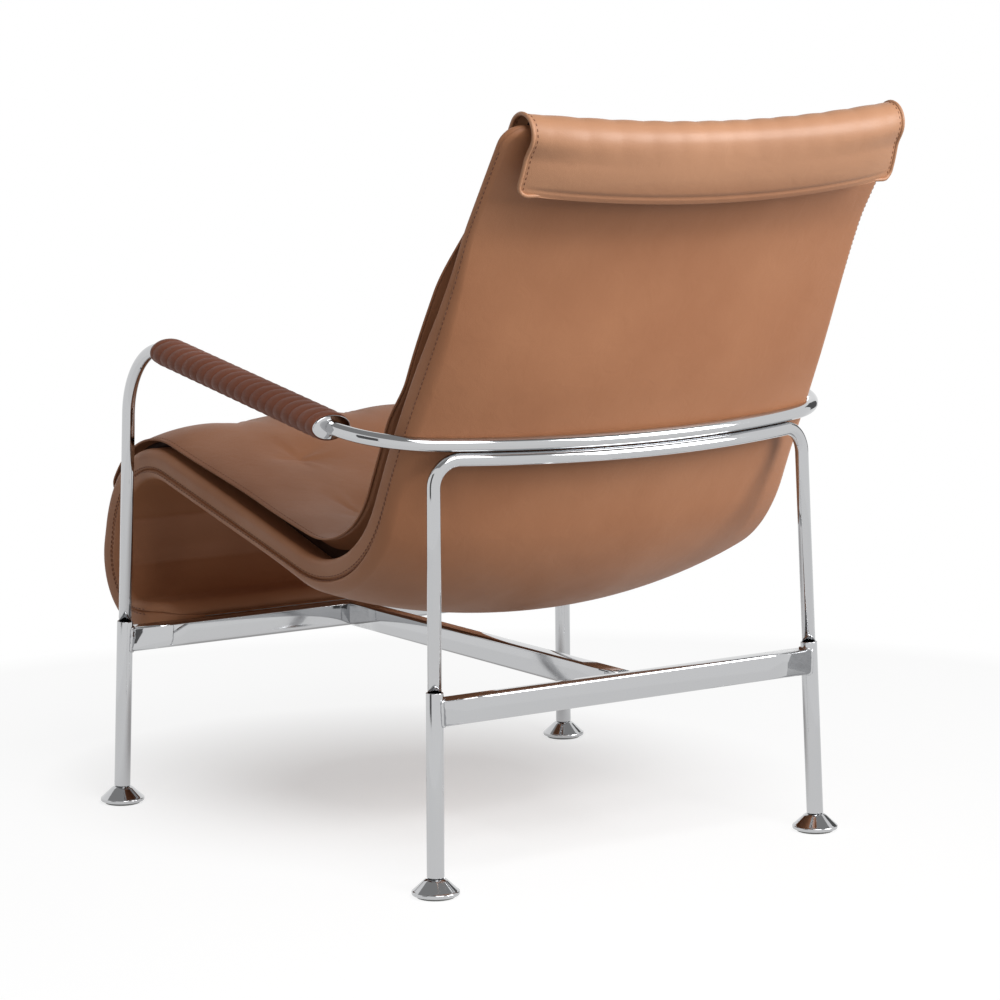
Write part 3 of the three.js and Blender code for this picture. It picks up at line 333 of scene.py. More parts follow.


# Leather in two close browns; above a given height it gets a thin coat, and its colour turns paler there as a painted
# highlight.
def leather(name, colour, dark, bump=0.25, shine=0.34, paintedHighlightAbove=0):
    material, tree, shader = newMaterial(name)
    grain = useGroup(tree, leatherGrain, {
        "Colour": linear(*colour), "Dark Colour": linear(*dark), "Grain Size": hide["grainSize"],
        "Cloud Size": hide["cloudSize"], "Crease Size": hide["creaseSize"],
        "Roughness Low": hide["roughLow"], "Roughness High": hide["roughHigh"]})
    relief = node(tree, "ShaderNodeBump", in_Strength=bump, in_Distance=hide["relief"])
    feed(tree, relief.inputs["Height"], grain["Height"])
    feed(tree, shader.inputs["Base Color"], grain["Colour"])
    feed(tree, shader.inputs["Roughness"], grain["Roughness"])
    feed(tree, shader.inputs["Normal"], relief.outputs["Normal"])
    shader.inputs["Specular IOR Level"].default_value = shine
    shader.inputs["Coat Roughness"].default_value = hide["coatRough"]
    # Painted highlight: from this height up the colour blends to a paler tone that stands in for the key light's
    # highlight; the coat that comes with it is real gloss.
    if paintedHighlightAbove:
        place = node(tree, "ShaderNodeTexCoord")
        split = node(tree, "ShaderNodeSeparateXYZ")
        feed(tree, split.inputs[0], place.outputs["Object"])
        high = mapRange(tree, split.outputs["Z"], paintedHighlightAbove, paintedHighlightAbove + hide["highlightAndCoatReach"],
                        0.0, hide["polish"])
        feed(tree, shader.inputs["Coat Weight"], high)
        feed(tree, shader.inputs["Base Color"], mixColour(tree, high, grain["Colour"], linear(*hide["polished"])))
    return material


def metal(name, colour, rough, size=60.0):
    material, tree, shader = newMaterial(name)
    polish = useGroup(tree, polishMarks, {
        "Colour": colour, "Mark Size": size, "Roughness Low": rough[0], "Roughness High": rough[1]})
    feed(tree, shader.inputs["Base Color"], polish["Colour"])
    feed(tree, shader.inputs["Roughness"], polish["Roughness"])
    shader.inputs["Metallic"].default_value = 1.0
    return material


# A plain material: two colours mixed by noise, which also gives a shallow relief.
def plain(name, colour, dark, size, rough, bump=0.1):
    material, tree, shader = newMaterial(name)
    place = node(tree, "ShaderNodeTexCoord")
    noise = node(tree, "ShaderNodeTexNoise", in_Scale=size, in_Detail=4.0)
    feed(tree, noise.inputs["Vector"], place.outputs["Object"])
    feed(tree, shader.inputs["Base Color"], mixColour(tree, noise.outputs["Fac"], linear(*dark), linear(*colour)))
    relief = node(tree, "ShaderNodeBump", in_Strength=bump, in_Distance=0.0005)
    feed(tree, relief.inputs["Height"], noise.outputs["Fac"])
    feed(tree, shader.inputs["Normal"], relief.outputs["Normal"])
    shader.inputs["Roughness"].default_value = rough
    return material


shellHide = leather("shellLeather", (174, 120, 85), (161, 108, 75))
# The pad's leather turns paler above 0.76 m, a painted highlight on the fold and flap, under a thin real coat.
padHide = leather("padLeather", (160, 109, 77), (144, 95, 66), bump=0.3, shine=0.24, paintedHighlightAbove=0.76)
# Painted shade: a near-black leather for the pad's side walls and underside, standing in for the shadow in the crevice
# between pad and shell.
padPaintedShade = leather("padPaintedShadeLeather", (64, 43, 34), (54, 36, 28), bump=0.3, shine=0.15)
armHide = leather("armLeather", (134, 82, 62), (115, 67, 49), bump=0.35, shine=0.22)
threadCoat = plain("seamThread", (132, 88, 62), (96, 60, 42), 900.0, 0.7)
chrome = metal("polishedChrome", (0.53, 0.535, 0.545, 1), (0.04, 0.09))
zinc = metal("zincPlate", (0.52, 0.53, 0.54, 1), (0.28, 0.45), 140.0)
glideCoat = plain("feltGlide", (178, 178, 176), (140, 140, 138), 1200.0, 0.85, 0.3)
plyCoat = plain("plywoodCore", (196, 164, 120), (160, 126, 86), 40.0, 0.6)
print("materials ready")

base = dict(
    rearSpacing=534, frontSpacing=664, depth=610, railHeight=208, sideSplay=0.0267, depthSplay=0.0321,
    thickRadius=10.0, thinRadius=8.0, step=231, socket=3, socketGap=0.25, insert=45, footTop=21.2, tubeFoot=22.0,
    barHigh=31, barWide=20, barCorner=3.2, gap=0.3, barRings=9, tubeSides=40,
)


# Point on the middle line of the leg on that side and end: the legs splay evenly below the rails.
def legPoint(side, end, height):
    spacing = base["frontSpacing"] if end < 0 else base["rearSpacing"]
    below = base["railHeight"] - height
    return np.array([side * (spacing / 2 + base["sideSplay"] * below),
                     end * (base["depth"] / 2 + base["depthSplay"] * below), height], float)


# Circle about an axis, as directions: side * cos(angle) + lift * sin(angle).
def circleAbout(along, angle):
    side = unit(np.cross(along, [0.0, 1.0, 0.0]))
    return side * np.cos(angle)[..., None] + np.cross(along, side) * np.sin(angle)[..., None]


# A turned piece: radius against length along an axis from its start.
def turnedPiece(name, profile, start, along, material, sides=64, body=rootBody):
    along = unit(along)
    length, radius = profile[:, 1][:, None, None], profile[:, 0][:, None, None]
    return skin(name, start + along * length + circleAbout(along, fullTurn(sides))[None] * radius, material, body=body)


# Rounds the corners of a profile: each is cut back and a quadratic curve bends from cut to cut.
def softened(profile, radius, steps=4):
    profile = [np.asarray(p, float) for p in profile]
    most = 0.45  # share of a side that one cut may take
    out = [profile[0]]
    for a, b, c in zip(profile, profile[1:], profile[2:]):
        cut = min(radius, np.linalg.norm(b - a) * most, np.linalg.norm(c - b) * most)
        p, q = b + unit(a - b) * cut, b + unit(c - b) * cut
        for t in np.linspace(0, 1, steps + 1):
            out.append(p * (1 - t) ** 2 + b * 2 * t * (1 - t) + q * t ** 2)
    out.append(profile[-1])
    return np.array(out)


foot = dict(rim=27.3, rimLow=3.0, rimHigh=8.0, cone=21.2, neck=10.4, glide=22.0, recess=0.6, glideRise=0.3,
            bore=8.5, pocket=31.0, stem=4.7, stemLow=15.0, stemHigh=51.2, pitch=1.5, thread=0.6, pole=0.01)


# A threaded stem: its radius falls in a valley that climbs by one pitch in each turn.
def threadedStem(name, start, end, body):
    along = unit(end - start)
    run = np.arange(0, np.linalg.norm(end - start), foot["pitch"] / 6)[:, None]
    angle = fullTurn(24)[None]
    turns = run / foot["pitch"] - angle / (2 * np.pi)
    radius = (foot["stem"] - foot["thread"] * 2 * np.abs(turns - np.round(turns)))[..., None]
    return skin(name, start + along * run[..., None] + circleAbout(along, angle) * radius, chrome, body=body)


names = {(1, -1): "front_left", (-1, -1): "front_right", (1, 1): "rear_left", (-1, 1): "rear_right"}
for (side, end), corner in names.items():
    bottom, top = legPoint(side, end, base["tubeFoot"]), legPoint(side, end, base["step"])
    length = np.linalg.norm(top - bottom)
    pole, thick, socket = foot["pole"], base["thickRadius"], base["thinRadius"] + base["socketGap"]
    tube = turnedPiece(f"legLower_{corner}", softened([
        (pole, foot["pocket"]), (foot["bore"], foot["pocket"]), (foot["bore"], 0), (thick, 0), (thick, length),
        (socket, length), (socket, length - base["socket"]), (pole, length - base["socket"])], 1.1),
        bottom, top - bottom, chrome)
    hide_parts(f"leg_tube_{corner}")
    ground = legPoint(side, end, base["footTop"]) * [1, 1, 0]
    rim, low, high, cone = foot["rim"], foot["rimLow"], foot["rimHigh"], foot["cone"]
    disc = turnedPiece(f"footDisc_{corner}", softened([
        (pole, low + foot["recess"]), (foot["glide"] + 0.4, low + foot["recess"]), (rim - 0.6, low), (rim, low + 0.8),
        (rim, high - 1.0), (rim - 1.6, high), (foot["neck"] + 3.0, cone - 1.8), (foot["neck"], cone), (pole, cone)],
        0.9), ground, (0, 0, 1), chrome, 96, f"levelling_foot_{corner}")
    stem = threadedStem(f"footStem_{corner}", legPoint(side, end, foot["stemLow"]),
                        legPoint(side, end, foot["stemHigh"]), f"levelling_foot_{corner}")
    for piece in (disc, stem):
        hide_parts(f"foot_{corner}")
    feltTop = low + foot["glideRise"]
    felt = turnedPiece(f"footFelt_{corner}", softened([
        (pole, 0.0), (foot["glide"], 0.0), (foot["glide"], feltTop), (pole, feltTop)], 0.7),
        ground, (0, 0, 1), glideCoat, 64, f"levelling_foot_{corner}")
    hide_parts(f"foot_glide_{corner}")


# Section of a bar: a rectangle whose corners are quarter circles.
def barSection(perCorner=6):
    wide, high, radius = base["barWide"], base["barHigh"], base["barCorner"]
    out = []
    for sx, sy, first in ((1, 1, 0), (-1, 1, 90), (-1, -1, 180), (1, -1, 270)):
        angle = np.radians(np.linspace(first, first + 90, perCorner))
        out.append(np.stack([sx * (wide / 2 - radius) + radius * np.cos(angle),
                             sy * (high / 2 - radius) + radius * np.sin(angle)], -1))
    return np.concatenate(out)


# A bar between two legs: its end rings lie on a cylinder about each leg, and the rings between run straight.
def crossBar(name, end, nodeName):
    section = barSection()
    y, z = end * base["depth"] / 2 + section[:, 0], base["railHeight"] + section[:, 1]
    ends = []
    for side in (-1, 1):
        axis = np.array([legPoint(side, end, h) for h in z])
        across = np.clip(y - axis[:, 1], -base["thickRadius"], base["thickRadius"])
        reach = base["thickRadius"] + base["gap"]
        x = axis[:, 0] - side * np.sqrt(np.maximum(reach ** 2 - across ** 2, 0.0))
        ends.append(np.stack([x, y, z], -1))
    share = np.linspace(0, 1, base["barRings"])[:, None, None]
    bar = skin(name, ends[0] * (1 - share) + ends[1] * share, chrome)
    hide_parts(nodeName)
    for ring, label, way in zip(ends, ("right", "left"), (1, -1)):
        weldBead(f"{name}Weld_{label}", ring, way)


weld = dict(radius=1.9, pullIn=0.4, onBar=0.9, step=2.5, ripple=0.10, wave=1.9, sides=8)


# A weld: a thin bead round the end of a bar, pulled a little over it; its radius ripples by a sine.
def weldBead(name, ring, way):
    centre = ring.mean(0)
    loop = ring + unit(ring - centre) * np.array([0, 1, 1]) * -weld["pullIn"] + np.array([way * weld["onBar"], 0, 0])
    loop = resample(np.concatenate([loop, loop[:1]]), weld["step"])[:-1]
    outward = unit((loop - centre) * [0, 1, 1])[:, None]
    angle = fullTurn(weld["sides"])[None, :, None]
    radius = weld["radius"] * (1 + weld["ripple"] * np.sin(np.arange(len(loop)) * weld["wave"]))
    rings = loop[:, None] + (outward * np.cos(angle) + np.array([1.0, 0, 0]) * np.sin(angle)) * radius[:, None, None]
    skin(name, rings, chrome, closeRows=True)


crossBar("frontBar", -1, "front_rail")
crossBar("rearBar", 1, "rear_rail")
section = barSection()
half = base["depth"] / 2 - base["barWide"] / 2 - base["gap"]
beam = skin("centreBar", [np.stack([section[:, 0], np.full(len(section), y), base["railHeight"] + section[:, 1]], -1)
                          for y in np.linspace(-half, half, base["barRings"])], chrome)
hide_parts("centre_beam")
print("legs, feet and bars done")

# Arms and hoop lie on one plane that falls to the rear; the rear bow runs right under the hoop.
hoop = dict(rearHeight=502, fall=0.139, bowRadius=835, cornerRadius=110, armSpacing=654, setback=1,
            armBend=88, rearBend=32, tube=16, gap=0.3, cornerSteps=30, bowSteps=60, rearSteps=20, armSteps=40)
legAtHoop = legPoint(1, 1, hoop["rearHeight"])
hoopRear = legAtHoop[1] + hoop["bowRadius"] - math.sqrt(hoop["bowRadius"] ** 2 - legAtHoop[0] ** 2)
bowCentre = hoopRear - hoop["bowRadius"]
cornerX = hoop["armSpacing"] / 2 - hoop["cornerRadius"]
cornerY = bowCentre + math.sqrt((hoop["bowRadius"] - hoop["cornerRadius"]) ** 2 - cornerX ** 2)
hoopEnd = cornerY - hoop["setback"]
bowAngle = math.atan2(cornerX, cornerY - bowCentre)
mirror = np.array([-1.0, 1.0, 1.0])
bothSides = (("left", np.ones(3)), ("right", mirror))


def hoopHeight(y):
    return hoop["rearHeight"] + hoop["fall"] * (hoopRear - y)


# Points of the bow behind the back: a circle seen from above, on the sloping plane of the arms.
def bowPoints(edge, drop=0.0):
    angle = np.linspace(edge, -edge, hoop["bowSteps"])
    y = bowCentre + hoop["bowRadius"] * np.cos(angle)
    return np.stack([hoop["bowRadius"] * np.sin(angle), y, hoopHeight(y) - drop], -1)


cornerAngle = np.linspace(0, math.pi / 2 - bowAngle, hoop["cornerSteps"])[:-1]
leftY = cornerY + hoop["cornerRadius"] * np.sin(cornerAngle)
leftCorner = np.stack([cornerX + hoop["cornerRadius"] * np.cos(cornerAngle), leftY, hoopHeight(leftY)], -1)
hoopStart = np.array([[hoop["armSpacing"] / 2, hoopEnd, hoopHeight(hoopEnd)]])
hoopPath = np.concatenate([hoopStart, leftCorner, bowPoints(bowAngle), (leftCorner * mirror)[::-1], hoopStart * mirror])
loop = skin("backHoop", tubeRings(hoopPath, base["thinRadius"], base["tubeSides"]), chrome)
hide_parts("back_loop_tube")

drop = (hoop["tube"] + hoop["gap"]) * math.sqrt(1 + hoop["fall"] ** 2)
rearCorner = legPoint(1, 1, hoopHeight(legAtHoop[1]) - drop)
rearBottom = legPoint(1, 1, base["step"] - base["insert"])
bendAngle = math.asin(rearCorner[0] / hoop["bowRadius"]) - hoop["rearBend"] / hoop["bowRadius"]
rearRun = bowPoints(bendAngle, drop)
arriving, leaving = unit(rearCorner - rearBottom), unit(rearRun[0] - rearCorner)
turn = math.acos(float(np.dot(arriving, leaving)))
rearRadius = min(hoop["rearBend"], np.linalg.norm(rearRun[0] - rearCorner) / math.tan(turn / 2))
leftHalf = roundedPath([rearBottom, rearCorner, rearRun[0]], [rearRadius], hoop["rearSteps"])[:-1]
rearPath = np.concatenate([leftHalf, rearRun[1:-1], (leftHalf * mirror)[::-1]])
rearBow = skin("rearBowTube", tubeRings(rearPath, base["thinRadius"], base["tubeSides"]), chrome)
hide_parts("rear_u_tube")

# Height at which the line of the front leg meets the plane of the arms.
armHeight = (hoop["rearHeight"] + hoop["fall"] * (hoopRear + base["depth"] / 2
             + base["depthSplay"] * base["railHeight"])) / (1 + hoop["fall"] * base["depthSplay"])
armCorner = legPoint(1, -1, armHeight)
armBottom = legPoint(1, -1, base["step"] - base["insert"])
armEnd = np.array([hoop["armSpacing"] / 2, hoopEnd - hoop["gap"], hoopHeight(hoopEnd - hoop["gap"])])
armPath = roundedPath([armBottom, armCorner, armEnd], [hoop["armBend"]], hoop["armSteps"])
armAhead = unit(armEnd - armPath[-2])
for label, way in bothSides:
    arm = skin(f"armTube_{label}", tubeRings(armPath * way, base["thinRadius"], base["tubeSides"]), chrome)
    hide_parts(f"arm_tube_{label}")
print("tubes done")

armPad = dict(
    wide=51, high=34, disc=4, discWide=48, discHigh=28, gap=0.3, turns=20, smoothFront=8, smoothRear=16, fadeRear=8,
    groove=1.8, valleyShape=0.8, nose=18.0, noseShape=3.5, noseLeast=0.36, start=-6.0, tail=0.93, around=96, rows=760,
)
bendEnd = armPath[-2]
armDown = unit(armPath[0] - armPath[1])
bendCentre = bendEnd + unit(np.cross(np.cross(armAhead, armDown), armAhead)) * hoop["armBend"]
straight = np.linalg.norm(armEnd - bendEnd)


# Points and directions along the arm, by the distance from the end of the bend: negative ones lie on the bend.
def armStations(distance):
    distance = distance[:, None]
    angle = np.minimum(distance, 0) / hoop["armBend"]
    spoke = bendEnd - bendCentre
    onBend = bendCentre + spoke * np.cos(angle) + armAhead * hoop["armBend"] * np.sin(angle)
    tangent = unit(armAhead * np.cos(angle) - unit(spoke) * np.sin(angle))
    return onBend + armAhead * np.maximum(distance, 0), tangent


# The pad is an oval about the tube. Its radius is cut by one helical valley whose depth is
# groove * (1 - |sin(pi * phase)|^0.8), and its nose closes as a superellipse, (1 - (1 - t)^3.5)^(1 / 3.5).
def armPadRings():
    front, rear, shape = armPad["smoothFront"], armPad["smoothRear"], armPad["noseShape"]
    end = straight - armPad["disc"] - armPad["gap"]
    distance = np.concatenate([armPad["start"] + 3 * np.linspace(0, 1, 12) ** 2,  # closer rings at the nose
                               np.linspace(armPad["start"] + 3.6, end, armPad["rows"])])
    points, tangent = armStations(distance)
    across = unit(np.cross(tangent, [0, 0, 1.0]))
    lift = np.cross(across, tangent)
    angle = fullTurn(armPad["around"])
    pitch = (end - rear - front) / armPad["turns"]
    first, last = front - pitch * 0.6, end - rear + pitch * 0.2  # the valley fades in and out here
    phase = (distance[:, None] - front) / pitch - angle[None] / (2 * np.pi)
    fade = smoothStep((distance - first) / pitch) * (1 - smoothStep((distance - last) / armPad["fadeRear"]))
    valley = armPad["groove"] * (1 - np.abs(np.sin(np.pi * phase)) ** armPad["valleyShape"]) * fade[:, None]
    nose = np.clip((distance - armPad["start"]) / armPad["nose"], 0, 1)
    tail = np.clip((end - distance) / rear, 0, 1)
    closing = np.maximum((1 - (1 - nose) ** shape) ** (1 / shape), armPad["noseLeast"])
    closing = closing * (armPad["tail"] + (1 - armPad["tail"]) * np.sqrt(1 - (1 - tail) ** 2))
    wide = (armPad["wide"] / 2 * closing)[:, None] - valley
    high = (armPad["high"] / 2 * closing)[:, None] - valley
    return (points[:, None] + across[:, None] * (wide * np.cos(angle))[..., None]
            + lift[:, None] * (high * np.sin(angle))[..., None])


# The end disc: an oval whose rings step round its edge, each as a size and a depth.
def armDiscRings():
    angle = fullTurn(armPad["around"])
    across = unit(np.cross(armAhead, [0, 0, 1.0]))
    lift = np.cross(across, armAhead)
    thick = armPad["disc"]
    rings = []
    for size, depth in ((0.4, 0.0), (0.93, 0.0), (0.985, 0.35), (1.0, 1.0),
                        (1.0, thick - 1.0), (0.985, thick - 0.35), (0.93, thick), (0.4, thick)):
        centre = armEnd - armAhead * (thick - depth)
        rings.append(centre + across * (np.cos(angle) * armPad["discWide"] / 2 * size)[:, None]
                     + lift * (np.sin(angle) * armPad["discHigh"] / 2 * size)[:, None])
    return np.array(rings)


for label, way in bothSides:
    wrap = skin(f"armPad_{label}", armPadRings() * way, armHide)
    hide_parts(f"arm_wrap_{label}", f"arm_core_{label}")
    disc = skin(f"armDisc_{label}", armDiscRings() * way, chrome)
    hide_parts(f"arm_end_disc_{label}")
print("arm pads done")

# The shell follows one side line of straight runs and arcs. "Run" is the length along it from the curl's end,
# and a drop is a depth under its top.
shell = dict(
    width=567, thick=38, headThick=16, thickDrop=300, thinDrop=110, curlCorner=143, seatCorner=95,
    curlHeight=225, curlRadius=68, seatHeight=447, seatFall=0.237, seatRadius=118, bucketRadius=160,
    backLean=0.505, headLean=0.67, breakHeight=748, breakRadius=260, topHeight=866, headWidth=543,
    narrowDrop=400, narrowEnd=150, bow=41, bowBucket=47, bowTop=22, gap=0.3, railGap=3.6, arcSteps=60,
    edgeFront=9.0, edgeRear=9.0, edgeBack=15.0, toBack=60, swell=1.6, seamDip=1.8, seamWide=1.2, seamShare=0.33,
    seamGap=0.15, fall=2.5, fallBack=7.5, dropSwell=4.5, seatSwell=5.0, seatSwellLong=120, topCorner=27,
    frontCorner=46, endRound=14.0, quiltDip=2.6, quiltSharp=5.0, quiltRuns=(134, 205), ripple=0.35,
    insideDraw=14, insideLift=0.2, rows=340, columns=96, stitchStep=6.4, stitchAway=3.0, stitchEnds=30,
)
backCos = 1 / math.sqrt(1 + shell["backLean"] ** 2)
backLineY = (hoopRear - (base["thinRadius"] + shell["gap"]) / backCos
             - (shell["thick"] / 2 + shell["bow"]) / backCos)
curlY = -base["depth"] / 2 - shell["curlCorner"]
seatY = -base["depth"] / 2 - shell["seatCorner"]
endY = -base["depth"] / 2 - base["barWide"] / 2 - shell["railGap"]


def backLine(height):
    return backLineY + shell["backLean"] * (height - hoop["rearHeight"])


seatAtZero = shell["seatHeight"] + shell["seatFall"] * seatY
bucketZ = ((seatAtZero - shell["seatFall"] * (backLineY - shell["backLean"] * hoop["rearHeight"]))
           / (1 + shell["seatFall"] * shell["backLean"]))
breakY, headHigh = backLine(shell["breakHeight"]), shell["topHeight"] - shell["breakHeight"]
sideCorners = [
    (0, endY, shell["curlHeight"]), (0, curlY, shell["curlHeight"]), (0, seatY, shell["seatHeight"]),
    (0, backLine(bucketZ), bucketZ), (0, breakY, shell["breakHeight"]),
    (0, breakY + shell["headLean"] * headHigh, shell["topHeight"]),
]
sideRadii = [shell["curlRadius"], shell["seatRadius"], shell["bucketRadius"], shell["breakRadius"]]
cornered = roundedPath(sideCorners, sideRadii, shell["arcSteps"])
fine = resample(cornered, 1.0)
sideRun = lengthAlong(fine)
sideLength = sideRun[-1]
sideAlong = unit(np.gradient(fine, axis=0))


# Run at the start or the end of the arc round the corner of that number.
def arcRun(corner, atEnd):
    steps = shell["arcSteps"]
    point = cornered[1 + (corner - 1) * (steps + 1) + (steps if atEnd else 0)]
    return sideRun[np.argmin(np.linalg.norm(fine - point, axis=1))]


kneeStart, kneeEnd = arcRun(2, False), arcRun(2, True)
bucketStart, bucketEnd = arcRun(3, False), arcRun(3, True)
headStart = arcRun(4, True)
bucketLow = bucketStart + shell["bucketRadius"] * math.atan(shell["seatFall"])
bucketMiddle = (bucketStart + bucketEnd) / 2


def runUnderTop(drop):
    return sideLength - drop * math.sqrt(1 + shell["backLean"] ** 2)


# Point of the side line at that run, its direction, and the outward direction square to it.
def stationAt(run):
    point, along = readOff(run, sideRun, fine), unit(readOff(run, sideRun, sideAlong))
    return point, along, np.stack([np.zeros_like(run), along[..., 2], -along[..., 1]], -1)


# Depth of the cross bow: nothing at the knee, deepest in the bucket, that of the hoop at the back, less at the top.
def bowAt(run):
    growing = shell["bowBucket"] * smoothStep((run - kneeEnd) / (bucketLow - kneeEnd))
    middle = between(shell["bowBucket"], shell["bow"], smoothStep((run - bucketLow) / (bucketEnd - bucketLow)))
    fading = between(shell["bow"], shell["bowTop"], smoothStep((run - bucketEnd) / (sideLength - bucketEnd)))
    return np.where(run < bucketLow, growing, np.where(run < bucketEnd, middle, fading))


# Half the thickness, which eases from that of the seat to that of the head.
def halfThick(run):
    thick = runUnderTop(shell["thickDrop"])
    toHead = smoothStep((run - thick) / (runUnderTop(shell["thinDrop"]) - thick))
    return between(shell["thick"], shell["headThick"], toHead) / 2


# How far a quarter-circle corner draws the side in, at that distance from the end.
def cornerDraw(distance, radius):
    inside = np.clip(radius - distance, 0, radius)
    return radius - np.sqrt(np.maximum(radius ** 2 - inside ** 2, 0.0))


# Half the width: full below, narrower at the head, less the rounded corners at both ends.
def halfWidth(run):
    start = runUnderTop(shell["narrowDrop"])
    headward = smoothStep((run - start) / (runUnderTop(shell["narrowEnd"]) - start))
    full = between(shell["width"], shell["headWidth"], headward) / 2
    return full - cornerDraw(sideLength - run, shell["topCorner"]) - cornerDraw(run, shell["frontCorner"])


# The part of the bow that is left at x across: 1 in the middle, 0 at the side, as a parabola.
def bowShare(x):
    return 1 - (x / (shell["width"] / 2)) ** 2


# Point of the shell: station + outward * (bow * (1 - (x / half)^2) + offset), at x across.
def shellPoints(run, x, offset):
    point, _, outward = stationAt(run)
    out = point + outward * (bowAt(run) * bowShare(x) + offset)[..., None]
    out[..., 0] = x
    return out


# Ends of the shell round off: the half thickness shrinks as a quarter circle over the last stretch.
def endRounding(run):
    t = np.clip(1 - np.minimum(run, sideLength - run) / shell["endRound"], 0, 1)
    return np.sqrt(np.maximum(1 - t ** 2 * 0.9, 0.0))


# Radius and fall of the rear edge: behind the back it is rounder and draws in more than under the seat.
def rearEdge(run):
    toBack = smoothStep((run - bucketMiddle) / (bucketEnd + shell["toBack"] - bucketMiddle))
    return (between(shell["edgeRear"], shell["edgeBack"], toBack), between(shell["fall"], shell["fallBack"], toBack))


# Side of one cover, from the seam over the wall and round the edge: offset from the middle skin, and place across.
# The wall bulges by a sine, sinks by a Gauss curve at the seam, and turns over the edge in a quarter circle.
def wallCurve(run, way):
    half = halfThick(run) * endRounding(run)
    width = halfWidth(run)
    radius = np.minimum(rearEdge(run)[0] if way > 0 else shell["edgeFront"], half * 0.6)
    seam = way * shell["seamShare"] * half
    high = half - radius - seam
    wall = (np.linspace(0, 1, 12)[:-1] ** 1.6)[None]  # closer rows at the seam
    dip = shell["seamDip"] * np.exp(-(wall * high / shell["seamWide"]) ** 2)
    wallX = width + shell["swell"] * np.sin(np.pi * wall * 0.5) - dip
    angle = np.linspace(0, np.pi / 2, 14)[None]
    turnX = width - radius + (radius + shell["swell"] * (1 - angle * 2 / np.pi)) * np.cos(angle)
    offset = np.concatenate([seam + shell["seamGap"] + high * wall, half - radius + radius * np.sin(angle)], 1)
    return offset, np.concatenate([wallX, turnX], 1), half, width, radius


# Section of one cover: side wall, face and side wall, then back along an inner sheet that follows the bow. The
# face swells by smooth bumps, sinks in sharp troughs along the quilted lines and ripples by a product of sines.
def coverRings(way):
    edge = np.linspace(0, 10, 12) ** 2 / 100 * 10  # closer rings at both ends
    evenly = np.linspace(10.5, sideLength - 10.5, shell["rows"])
    run = np.sort(np.concatenate([evenly, edge, sideLength - edge[::-1]]))[:, None]
    sideOffset, sideX, half, width, radius = wallCurve(run, way)
    flatX = (width - radius) * np.linspace(1, -1, shell["columns"])[None, 1:-1]
    x = np.concatenate([sideX, flatX, -sideX[:, ::-1]], 1)
    offset = np.concatenate([sideOffset, np.broadcast_to(half, flatX.shape), sideOffset[:, ::-1]], 1)
    onFace = np.clip(offset / half, 0, 1)
    if way < 0:
        offset = offset + shell["dropSwell"] * np.sin(np.pi * np.clip(run / kneeStart - 0.15, 0, 1)) ** 2 * onFace
    else:
        outward = np.clip(np.abs(x) / (shell["width"] / 2), 0, 1) ** 6
        offset = offset - (rearEdge(run)[1] * half / (shell["thick"] / 2) * np.minimum(1, bowAt(run) / shell["bow"])
                           * outward * onFace)
        offset = offset + shell["seatSwell"] * np.exp(-((run - bucketMiddle) / shell["seatSwellLong"]) ** 2) * onFace
        for quilt in shell["quiltRuns"]:
            offset = offset - shell["quiltDip"] * np.exp(-np.abs(run - quilt) / shell["quiltSharp"]) * onFace ** 3
    ripple = shell["ripple"] * np.sin(x / 47 + run / 61) * np.sin(run / 83 + 0.7) * onFace ** 4
    outside = shellPoints(run + 0 * x, x, way * (offset + ripple))
    insideX = flatX[:, ::-1] * (width - shell["insideDraw"]) / width
    inside = shellPoints(run + 0 * insideX, insideX, np.full(insideX.shape, way * shell["insideLift"]))
    sides, face = sideX.shape[1], flatX.shape[1]
    total = 2 * sides + 2 * face
    facing = np.concatenate([np.full(sides, total - 1), total - 1 - np.arange(face), np.full(sides, total - face)])
    return np.concatenate([outside, inside], 1), (np.arange(2 * sides + face), facing)


for name, way, nodeName in (("shellBack", 1, "shell_rear_cover"), ("shellFront", -1, "shell_front_cover")):
    rings, across = coverRings(way)
    cover = skin(name, rings, shellHide, across=across)
    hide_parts(nodeName)

thread = dict(rings=7, sides=6, sink=0.7, taper=0.85)


# Rows of stitches: short raised threads along the leather. With t from -1 to 1 they sink by t^4 at both ends,
# and their thickness tapers as sqrt(1 - 0.85 t^4).
def stitches(name, places, along, outward, long=4.4, thick=0.72):
    across = np.cross(along, outward)
    t, angle = np.linspace(-1, 1, thread["rings"]), fullTurn(thread["sides"])[None, :, None]
    circle = (outward[:, None] * np.cos(angle) + across[:, None] * np.sin(angle)) * thick
    lengthwise = (along[:, None] * (t * long / 2)[None, :, None]
                  - outward[:, None] * (thread["sink"] * t ** 4)[None, :, None])
    size = np.sqrt(1 - thread["taper"] * t ** 4)
    points = places[:, None, None] + lengthwise[:, :, None] + circle[:, None] * size[None, :, None, None]
    count = thread["rings"] * thread["sides"]
    first = (np.arange(len(places)) * count)[:, None, None]
    ring = np.arange(thread["sides"])
    ends = np.array([ring[::-1], count - thread["sides"] + ring])
    faces = [(gridFaces(thread["rings"], thread["sides"])[None] + first).reshape(-1, 4),
             (ends[None] + first).reshape(-1, thread["sides"])]
    points = points.reshape(-1, 3)
    if signedVolume(points, faces) < 0:
        faces = [f[:, ::-1] for f in faces]
    made = newObject(name, points, faces, threadCoat)
    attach(made, rootBody)
    return made


